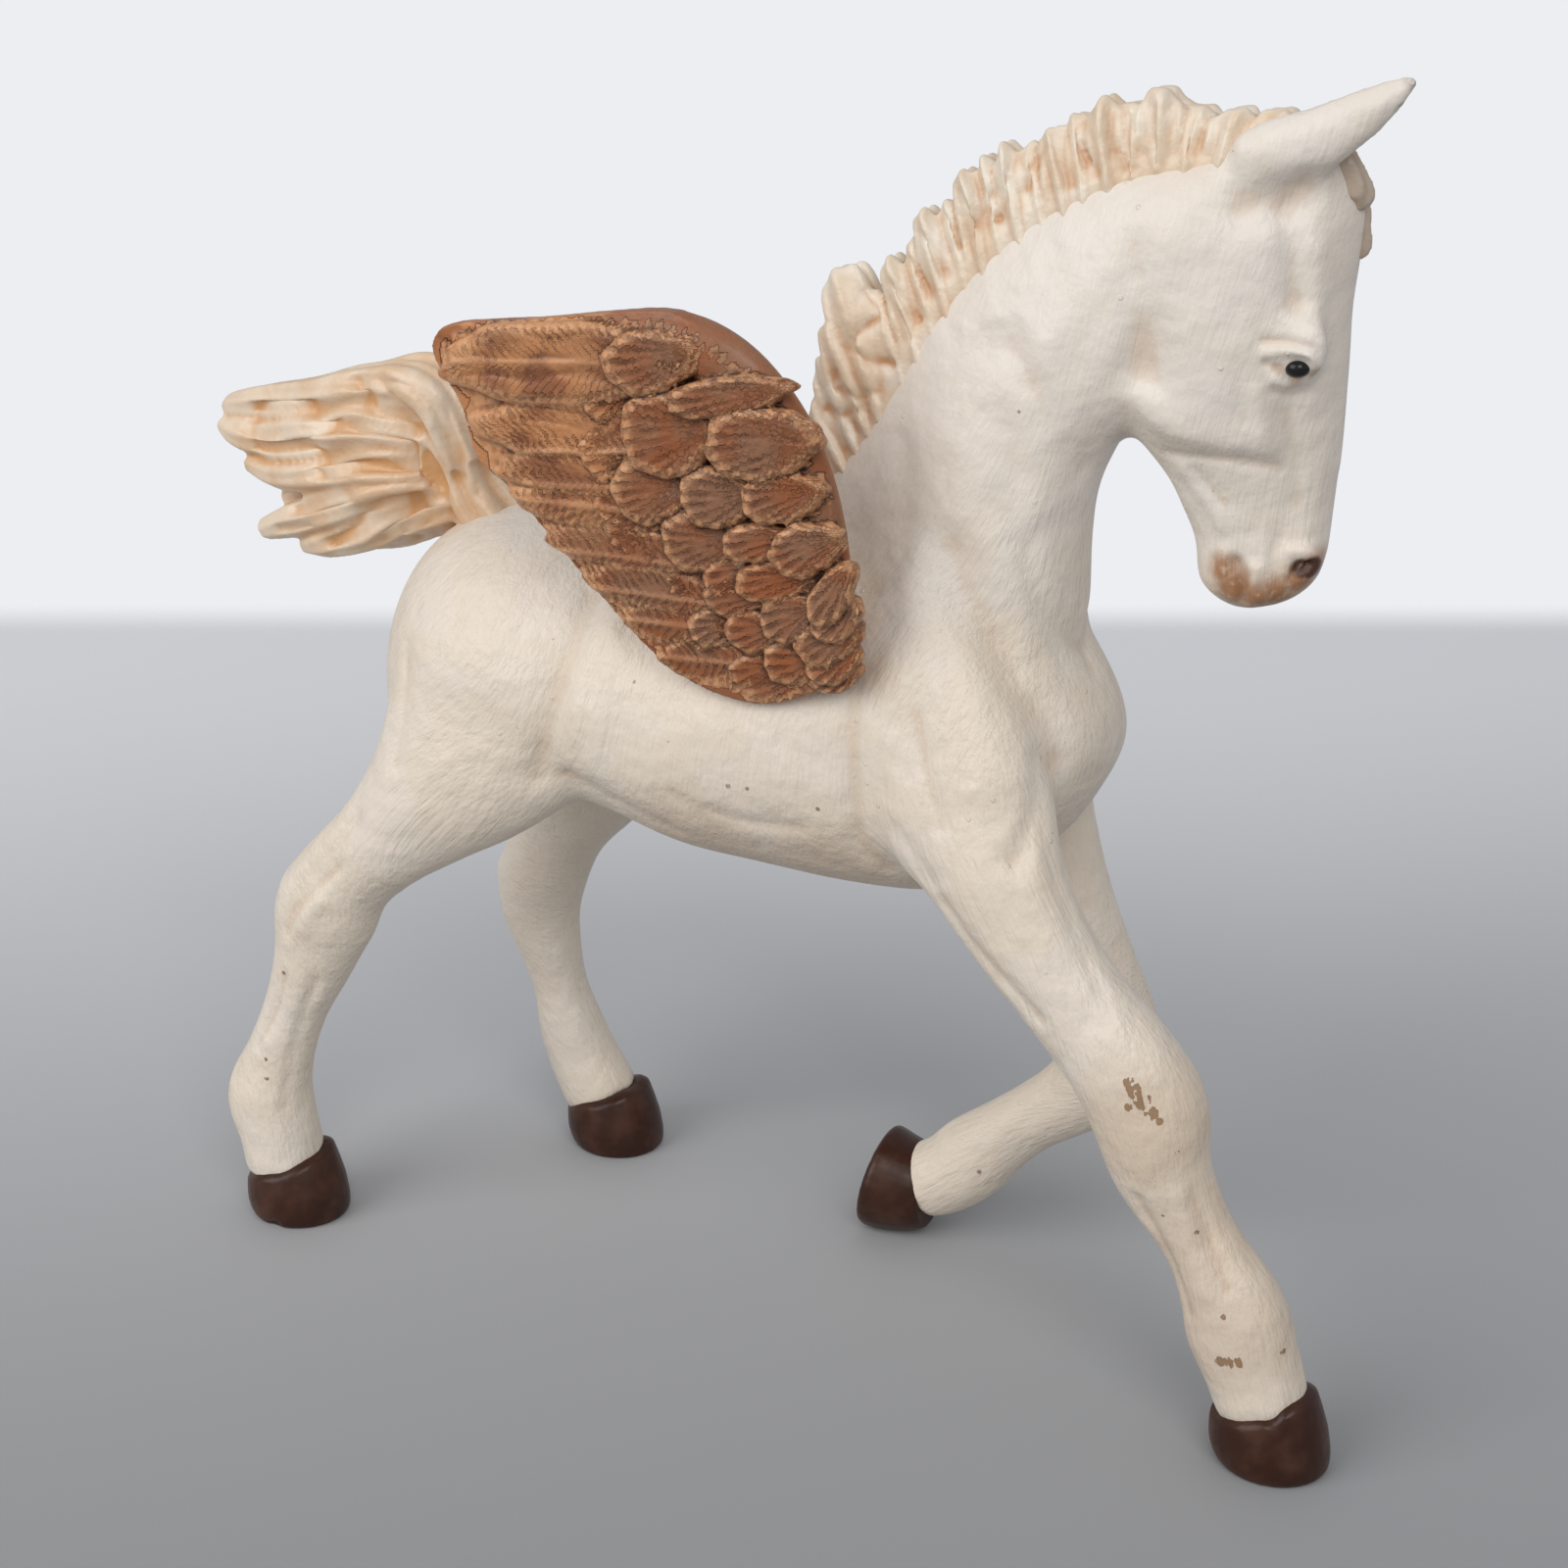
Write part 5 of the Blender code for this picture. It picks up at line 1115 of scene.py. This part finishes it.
# Tufts: tip x, z, root x, z, half width, side offset
TUFTS = (
    (32.6, 92.6, 30.6, 88.6, 1.5, 0.6), (29.6, 92.8, 28.4, 88.2, 1.6, -0.9),
    (26.8, 92.8, 26.4, 88.0, 1.5, 0.7), (24.2, 94.0, 24.6, 88.0, 1.6, -0.8),
    (22.2, 93.0, 22.9, 87.4, 1.3, 0.8), (20.2, 93.1, 21.4, 86.4, 1.4, -0.9),
    (18.4, 92.0, 20.0, 85.2, 1.3, 0.7), (16.6, 91.4, 18.8, 84.0, 1.3, -0.8),
    (14.8, 90.1, 17.6, 82.6, 1.3, 0.8), (13.2, 89.8, 16.2, 81.0, 1.3, -0.9),
    (11.8, 88.9, 15.0, 79.6, 1.2, 0.8), (10.3, 88.5, 13.8, 78.0, 1.3, -0.8),
    (9.0, 86.4, 12.8, 76.4, 1.2, 0.7), (7.4, 85.3, 11.6, 74.8, 1.3, -0.8),
    (6.3, 83.4, 10.6, 73.0, 1.2, 0.8), (4.9, 81.9, 9.6, 71.6, 1.3, -0.7),
    (3.8, 79.4, 8.6, 70.0, 1.3, 0.7), (0.8, 81.4, 5.4, 69.6, 2.1, 0.0), (0.2, 77.4, 4.6, 68.6, 1.6, -0.8),
    (-0.4, 74.6, 4.0, 67.0, 1.5, 0.6), (-0.8, 71.4, 3.0, 65.6, 1.4, -0.6),
    (-2.2, 68.4, 1.2, 64.0, 1.3, 0.0),
)
TUFT_HALF_THICKNESS = 1.1
TUFT_RIDGES = 2.0
TUFT_RIDGE_HEIGHT = 0.26
# Shares of the mane's half width and of the side offset at the two ends of a tuft
TUFT_ROOT_SPREAD = 0.75
TUFT_TIP_SPREAD = 0.3
TUFT_TIP_OFFSET = 0.3
# Grooves between the tufts, on both sides: radius, depth, x, z
MANE_LINES = (
    (0.35, -0.5, ((26.5, 93.2), (26.6, 91.6), (26.8, 90.2))),
    (0.35, -0.5, ((23.8, 92.8), (24.0, 91.0), (24.5, 89.4))),
    (0.35, -0.5, ((21.3, 92.1), (21.5, 90.4), (22.4, 88.8))),
    (0.30, -0.4, ((22.2, 92.2), (22.3, 90.4), (22.9, 88.8))),
    (0.35, -0.5, ((18.7, 91.7), (19.0, 90.1), (20.2, 88.5))),
    (0.35, -0.4, ((17.3, 91.0), (17.8, 89.4), (18.6, 87.7))),
    (0.35, -0.5, ((16.2, 89.9), (15.7, 88.8), (15.4, 87.2))),
    (0.35, -0.5, ((14.6, 89.7), (14.1, 87.5), (13.5, 85.2))),
    (0.35, -0.4, ((12.9, 89.4), (13.0, 87.5), (12.3, 84.7))),
    (0.35, -0.5, ((11.1, 88.5), (11.9, 86.9), (12.1, 84.9))),
    (0.35, -0.5, ((10.2, 86.8), (11.1, 85.6), (11.5, 83.9))),
    (0.35, -0.5, ((8.5, 85.3), (9.8, 84.6), (10.5, 83.1))),
    (0.35, -0.5, ((7.2, 83.9), (8.7, 83.0), (9.6, 81.5))),
    (0.35, -0.5, ((5.9, 82.3), (7.3, 81.4), (8.4, 79.9))),
    (0.35, -0.5, ((5.4, 80.2), (6.8, 79.3), (7.7, 78.0))),
    (0.35, -0.5, ((5.1, 79.2), (6.3, 77.9), (7.1, 76.7))),
    (0.40, -0.5, ((3.5, 79.5), (4.5, 78.1), (3.5, 77.0), (2.5, 75.6), (4.3, 74.9), (5.7, 74.7))),
    (0.40, -0.4, ((1.1, 73.6), (1.4, 72.6), (3.2, 72.2), (4.9, 72.8))),
    (0.40, -0.4, ((0.5, 71.1), (1.7, 70.7), (3.5, 71.4))),
)
# Forelock strands in the head plane: root s, z, tip s, z, side offset, half width
FORELOCK = (
    (8.6, 91.0, 11.5, 86.4, -1.6, 1.0), (8.8, 91.2, 11.3, 83.4, -0.4, 1.1),
    (8.8, 91.2, 11.3, 84.6, 0.9, 1.0), (8.6, 91.0, 11.2, 86.8, 2.0, 0.9),
)
FORELOCK_HALF_THICKNESS = 0.9


def carved(lines, wide, shallow, narrow, deep):
    """Each line as a wide soft hollow with a narrow cut along its bottom."""
    out = []
    for radius, depth, line in lines:
        out.append((radius * wide, depth * shallow, line))
        out.append((radius * narrow, depth * deep, line))
    return out


def tuft(clay, root, tip, normal, half_width, half_thickness):
    """A leaf of hair from root to tip with a few ridges along it."""
    unit, faces = unit_ball(5)
    root, tip, normal = (np.array(each, dtype=float) for each in (root, tip, normal))
    along = tip - root
    length = np.linalg.norm(along)
    along = along / length
    normal = normal - along * np.dot(normal, along)
    normal = normal / np.linalg.norm(normal)
    across = np.cross(normal, along)
    seed = seed_at(root[0], root[2], 6.283)
    x, y, z = unit.T
    edge = wobble(seed, np.arctan2(y, x))
    ridge = (TUFT_RIDGE_HEIGHT * np.cos(y * math.pi * TUFT_RIDGES + 0.4 * np.sin(2 * x + seed))
             * np.clip(np.abs(z) / 0.5, 0, 1))
    lift = flattened(z, 1.2, 0.7) * half_thickness + np.sign(z) * ridge
    broad = half_width * (1 + 0.25 * x) * edge
    middle = (root + tip) / 2
    points = (middle + along * (x * length / 2 * edge)[:, None] + across * (y * broad)[:, None]
              + normal * lift[:, None])
    clay.add(points, faces)


mane_clay = Clay()
mane_clay.loft([(*row, 1.0, MANE_FIN_TAPER) for row in MANE_FIN], MANE_HALF_WIDTH)
for x1, z1, x0, z0, half_width, offset in TUFTS:
    for side in (-1, 1):
        root = (x0, side * MANE_HALF_WIDTH * TUFT_ROOT_SPREAD, z0)
        tip = (x1, side * MANE_HALF_WIDTH * TUFT_TIP_SPREAD + offset * TUFT_TIP_OFFSET, z1)
        tuft(mane_clay, root, tip, (0.0, 1.0, 0.0), half_width, TUFT_HALF_THICKNESS)
mane = mane_clay.press("mane", MANE_VOXEL)
smooth(mane, 2)
cut_lines(mane, carved(MANE_LINES, 1.8, 0.4, 0.9, 0.45))
smooth(mane, 1)
note_hollows(mane, 10, 60)

forelock_clay = Clay()
for s0, z0, s1, z1, offset, half_width in FORELOCK:
    tuft(forelock_clay, head_place((s0, offset, z0)), head_place((s1, offset, z1)),
         (math.cos(HEAD_TURN), math.sin(HEAD_TURN), 0.0), half_width, FORELOCK_HALF_THICKNESS)
forelock = forelock_clay.press("forelock", MANE_VOXEL)
smooth(forelock, 1)
note_hollows(forelock, 8, 40)

PEACH_CREAM = (0.74, 0.58, 0.42)
PALE_CREAM = (0.80, 0.71, 0.59)
ORANGE_TAN = (0.52, 0.26, 0.11)
GREY_TAN = (0.50, 0.40, 0.31)
DARK_TAN = (0.24, 0.14, 0.08)


def hair_finish(name, pale, cream, shade, depth, root=None):
    finish = Finish(name, 0.36, coat=0.2, coat_roughness=0.25)
    recess = finish.noted("recess")
    broad = finish.noted("hollow")
    cloud = finish.grain(4.0, 3.0)
    colour = finish.blend(cloud.cut(0.35, 0.65), pale, cream)
    # Darker tan in the grooves and hollows, part paint wash and part painted shade, and painted shade at the
    # root spots
    groove = recess.cut(-0.01, depth) * 0.6 + broad.cut(0.0, 0.35) * 0.45 + cloud.cut(0.55, 0.75) * 0.12
    if root:
        groove = groove + finish.spots(root, 0.8, 2.0) * 0.45
    colour = finish.blend(groove.held(), colour, shade)
    finish.wire(Base_Color=colour, Roughness=cloud * 0.15 + 0.27)
    relief = finish.bump(finish.grain(0.5, 3.0), 0.06)
    finish.wire(Normal=finish.bump(finish.grain(1.4, 2.0), 0.10, relief))
    return finish


hair = hair_finish("gloss_peach_cream_paint", PALE_CREAM, PEACH_CREAM, ORANGE_TAN, 0.08)
seat(mane, hair)
dusty = hair_finish("dusty_tan_paint", GREY_TAN, GREY_TAN, DARK_TAN, 0.08)
seat(forelock, dusty)

# Tail
# A full tail carried up and blown back in lobed locks that swirl round one centre, cast with the
# rump and painted like the mane, with orange tan in its grooves and hollows, part paint wash and
# part painted shade, and painted shade in orange tan at its root.
TAIL_VOXEL = 0.17
TAIL_FLUTES = 7
TAIL_GROOVE = 0.20
TAIL_TWIST = 0.07
# Locks: x, y, z, half height, half depth
TAIL_LOCKS = (
    ((-26.8, 0.0, 57.0, 3.4, 3.4), (-30.2, 0.0, 61.4, 3.0, 3.2), (-31.9, 0.0, 65.6, 3.2, 3.4),
     (-34.4, 0.0, 68.0, 3.6, 3.6), (-38.4, 0.0, 67.4, 3.6, 3.6), (-42.4, 0.0, 65.6, 2.6, 2.6)),
    ((-30.6, -1.2, 64.0, 2.4, 2.2), (-33.6, -1.8, 69.2, 2.4, 2.2), (-38.6, -2.0, 69.6, 2.0, 2.0),
     (-44.2, -1.6, 68.2, 1.9, 1.9), (-49.6, -0.8, 67.4, 1.6, 1.7), (-53.6, 0.0, 66.8, 1.1, 1.3),
     (-55.0, 0.3, 66.4, 0.6, 0.8)),
    ((-31.4, 1.2, 64.4, 2.4, 2.2), (-34.6, 1.8, 69.6, 2.3, 2.2), (-40.0, 2.2, 69.2, 1.9, 2.0),
     (-45.6, 2.0, 67.6, 1.8, 1.8), (-50.4, 1.6, 65.6, 1.5, 1.6), (-53.8, 1.0, 64.2, 0.8, 1.0)),
    ((-34.0, -1.6, 66.2, 2.4, 2.0), (-38.8, -2.6, 66.4, 2.2, 2.0), (-44.0, -2.4, 65.4, 2.0, 1.9),
     (-49.0, -1.6, 64.4, 1.8, 1.7), (-53.0, -0.8, 64.6, 1.4, 1.4), (-55.0, -0.4, 65.2, 0.7, 0.9)),
    ((-34.0, -1.6, 63.8, 2.2, 2.0), (-39.0, -2.6, 63.4, 2.0, 2.0), (-44.0, -2.2, 62.4, 1.8, 1.8),
     (-48.6, -1.4, 61.8, 1.5, 1.6), (-52.2, -0.6, 62.2, 0.9, 1.1)),
    ((-33.6, -1.2, 62.6, 2.2, 2.0), (-38.0, -2.2, 61.4, 2.2, 2.0), (-42.6, -2.0, 59.8, 1.9, 1.8),
     (-47.4, -1.2, 58.0, 1.6, 1.6), (-51.4, -0.4, 56.6, 1.0, 1.1)),
    ((-32.6, -0.6, 61.4, 2.2, 2.0), (-36.6, -1.4, 59.6, 2.1, 2.0), (-40.6, -1.4, 57.8, 1.8, 1.8),
     (-44.6, -0.8, 56.4, 1.5, 1.5), (-47.6, 0.0, 55.6, 0.9, 1.0)),
    ((-31.6, 1.0, 62.0, 2.2, 2.2), (-36.0, 2.0, 62.6, 2.4, 2.2), (-41.0, 2.2, 62.4, 2.4, 2.2),
     (-46.0, 1.6, 60.6, 1.8, 1.8), (-50.0, 0.8, 59.0, 1.0, 1.1)),
    ((-31.6, 0.6, 60.4, 2.0, 2.0), (-35.6, 1.2, 58.8, 1.9, 2.0), (-39.4, 1.4, 57.2, 1.4, 1.6),
     (-42.4, 1.0, 56.2, 0.8, 1.0)),
    ((-34.0, 1.6, 65.0, 2.4, 2.2), (-40.0, 2.0, 65.0, 2.2, 2.0), (-45.6, 1.8, 64.4, 1.9, 1.8),
     (-50.0, 1.2, 63.8, 1.5, 1.5), (-53.0, 0.6, 64.0, 0.8, 0.9)),
    ((-34.0, 1.4, 60.6, 2.0, 2.0), (-39.0, 1.8, 59.6, 2.0, 2.0), (-43.6, 1.4, 58.6, 1.7, 1.7),
     (-47.6, 0.8, 57.6, 1.1, 1.2)),
)
# Grooves of the swirl and the ridges between them, on both sides: radius, depth, x, z
TAIL_LINES = (
    (0.55, -0.9, ((-32.6, 62.2), (-33.0, 63.0), (-34.3, 63.6), (-37.4, 63.8), (-40.7, 63.9), (-42.6, 63.9),
                  (-44.1, 64.3), (-46.3, 64.1), (-50.4, 63.6))),
    (0.50, -0.8, ((-33.3, 63.9), (-34.6, 65.6), (-36.6, 66.3), (-40.4, 66.9), (-42.6, 67.5), (-44.7, 67.9),
                  (-46.9, 68.1), (-48.9, 67.6), (-50.6, 66.8))),
    (0.50, -0.7, ((-33.9, 66.9), (-35.1, 67.7), (-36.7, 68.0), (-37.9, 68.5), (-38.3, 69.4), (-39.3, 70.4))),
    (0.45, -0.5, ((-35.9, 69.5), (-36.8, 70.7))),
    (0.60, 0.4, ((-32.1, 67.7), (-32.7, 69.3), (-34.3, 70.5), (-36.3, 71.1))),
    (0.50, -0.8, ((-34.7, 61.0), (-36.6, 60.8), (-38.8, 59.7), (-40.6, 58.3), (-42.4, 57.2), (-43.8, 56.3))),
    (0.45, -0.7, ((-34.4, 60.7), (-36.0, 59.5), (-37.1, 58.3), (-38.1, 56.9))),
    (0.45, -0.7, ((-33.7, 60.3), (-34.7, 59.1), (-35.9, 58.0), (-36.7, 56.6))),
    (0.40, -0.6, ((-33.4, 59.4), (-34.4, 58.2), (-35.1, 56.5))),
    (0.50, -0.7, ((-40.4, 60.9), (-42.2, 59.9), (-44.9, 59.4), (-46.9, 59.4))),
    (0.40, -0.5, ((-45.3, 57.6), (-47.1, 57.3), (-48.9, 57.0))),
    (0.45, -0.5, ((-41.8, 66.6), (-43.5, 65.9), (-45.6, 65.0), (-47.6, 65.4), (-49.4, 65.2), (-50.9, 65.1))),
    (0.45, -0.5, ((-43.8, 62.8), (-42.1, 62.2), (-40.3, 62.4))),
    (0.70, 0.4, ((-41.0, 61.8), (-39.4, 61.4), (-37.4, 62.0), (-35.2, 62.4))),
    (0.60, -0.5, ((-30.3, 63.3), (-30.2, 65.1), (-30.7, 67.0), (-30.9, 68.4))),
    (0.60, -0.4, ((-28.9, 62.3), (-28.2, 64.0), (-28.1, 65.6))),
)
# Plain core that fills the tail between its locks
TAIL_CORE = (
    (-32.0, 0.0, 62.0, 2.4, 2.6), (-37.0, 0.0, 64.6, 3.8, 3.6), (-43.0, 0.0, 64.2, 4.2, 3.3),
    (-48.0, 0.0, 64.4, 3.4, 2.6), (-51.5, 0.0, 65.4, 1.9, 1.8), (-53.6, 0.1, 65.8, 0.9, 1.0),
)
# Painted shade in orange tan on the near side of the tail's root: x, y, z, radius
TAIL_ROOT_SHADE = (
    (-31.5, -3.0, 60.5, 3.6), (-34.0, -4.0, 59.4, 3.0), (-35.6, -4.0, 63.4, 2.6),
)
TAIL_PALE = (0.78, 0.63, 0.48)
TAIL_PEACH = (0.70, 0.50, 0.33)
TAIL_ORANGE = (0.62, 0.33, 0.14)
tail_clay = Clay()
for number, lock in enumerate(TAIL_LOCKS):
    tail_clay.limb(lock, flutes=TAIL_FLUTES, groove=TAIL_GROOVE, twist=TAIL_TWIST * (-1) ** number)
tail_clay.limb(TAIL_CORE)
tail = tail_clay.press("tail", TAIL_VOXEL)
smooth(tail, 5)
cut_lines(tail, carved(TAIL_LINES, 2.0, 0.7, 0.8, 0.35))
smooth(tail, 3)
note_hollows(tail, 14, 80)
swirl = hair_finish("gloss_peach_tan_paint", TAIL_PALE, TAIL_PEACH, TAIL_ORANGE, 0.09, TAIL_ROOT_SHADE)
seat(tail, swirl)

# Floor and backdrop
# A grey sheet under the figurine with painted light and shade, dark grey in front and lighter towards
# the back, that fades at its far edge into a plain, nearly white ground.
FLOOR_NEAR = (0.295, 0.301, 0.310)
FLOOR_FAR = (0.88, 0.89, 0.92)
SHEET_HALF_WIDTH = 3.0
SHEET_FRONT = -1.2
SHEET_BACK = 0.219
SHEET_TURN = math.radians(25.7)
SHEET_EDGE = 199.0
SHEET_FADE = 10.0
SHEET_TONES = (-80.0, 200.0)
across = np.array([math.cos(SHEET_TURN), math.sin(SHEET_TURN), 0.0]) * SHEET_HALF_WIDTH
away = np.array([-math.sin(SHEET_TURN), math.cos(SHEET_TURN), 0.0])
corners = [away * depth + across * side
           for depth, side in ((SHEET_FRONT, -1), (SHEET_FRONT, 1), (SHEET_BACK, 1), (SHEET_BACK, -1))]
sheet_mesh = bpy.data.meshes.new("floor")
sheet_mesh.from_pydata(corners, [], [(0, 1, 2, 3)])
floor = placed("floor", sheet_mesh)
card = Finish("pale_card", 0.7)
run = card.node("ShaderNodeVectorMath", {"operation": "DOT_PRODUCT"}, {0: card.place, 1: tuple(away)},
                output="Value")
# Painted light and shade: dark grey in front, lighter towards the back
card.wire(Base_Color=card.blend(run.cut(*SHEET_TONES), FLOOR_NEAR, FLOOR_FAR))
card.wire(Alpha=1 - run.cut(SHEET_EDGE - SHEET_FADE, SHEET_EDGE + SHEET_FADE))
floor.data.materials.append(card.material)
floor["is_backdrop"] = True

# Light
# Plain soft daylight: an even pale sky and two broad lamps, above on the left and in front.
SKY = (0.94, 0.96, 1.0, 1.0)
SKY_STRENGTH = 0.44
BACKDROP = (0.84, 0.855, 0.89, 1.0)
world = bpy.data.worlds.new("daylight")
bpy.context.scene.world = world
world.use_nodes = True
tree = world.node_tree
sky = tree.nodes["Background"]
sky.inputs["Color"].default_value = SKY
sky.inputs["Strength"].default_value = SKY_STRENGTH
ground = tree.nodes.new("ShaderNodeBackground")
ground.inputs["Color"].default_value = BACKDROP
seen = tree.nodes.new("ShaderNodeLightPath")
mixed = tree.nodes.new("ShaderNodeMixShader")
tree.links.new(seen.outputs["Is Camera Ray"], mixed.inputs[0])
tree.links.new(sky.outputs[0], mixed.inputs[1])
tree.links.new(ground.outputs[0], mixed.inputs[2])
tree.links.new(mixed.outputs[0], tree.nodes["World Output"].inputs["Surface"])
# Lamps: name, place, aim, width, power
LAMPS = (
    ("window", (-0.30, -0.50, 0.36), (0.0, 0.0, 0.05), 0.50, 2.30),
    ("front_fill", (0.34, -0.44, 0.46), (0.0, 0.0, 0.08), 0.35, 1.5),
)
LAMP_COLOUR = (1.0, 0.985, 0.965)
for name, place, aim, width, power in LAMPS:
    lamp = bpy.data.lights.new(name, "AREA")
    lamp.shape = "SQUARE"
    lamp.size = width
    lamp.energy = power
    lamp.color = LAMP_COLOUR
    holder = placed(name, lamp)
    holder.location = place
    holder.rotation_euler = (Vector(aim) - Vector(place)).to_track_quat("-Z", "Y").to_euler()

# Camera
# The figurine stands in three-quarter view, seen from its right side, a little from the front and
# from above.
camera_data = bpy.data.cameras.new("camera")
camera_data.lens = 56.25
camera_data.sensor_width = 36.0
camera_data.clip_start = 0.01
camera = placed("camera", camera_data)
camera.location = (0.07929, -0.16048, 0.10358)
camera.rotation_euler = (math.radians(70.8), 0.0, math.radians(25.7))
bpy.context.scene.camera = camera
bpy.context.scene.view_settings.view_transform = "Standard"

low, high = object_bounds()
sizes = {"cad": [list(cad_low), list(cad_high)], "visual": [list(low), list(high)]}
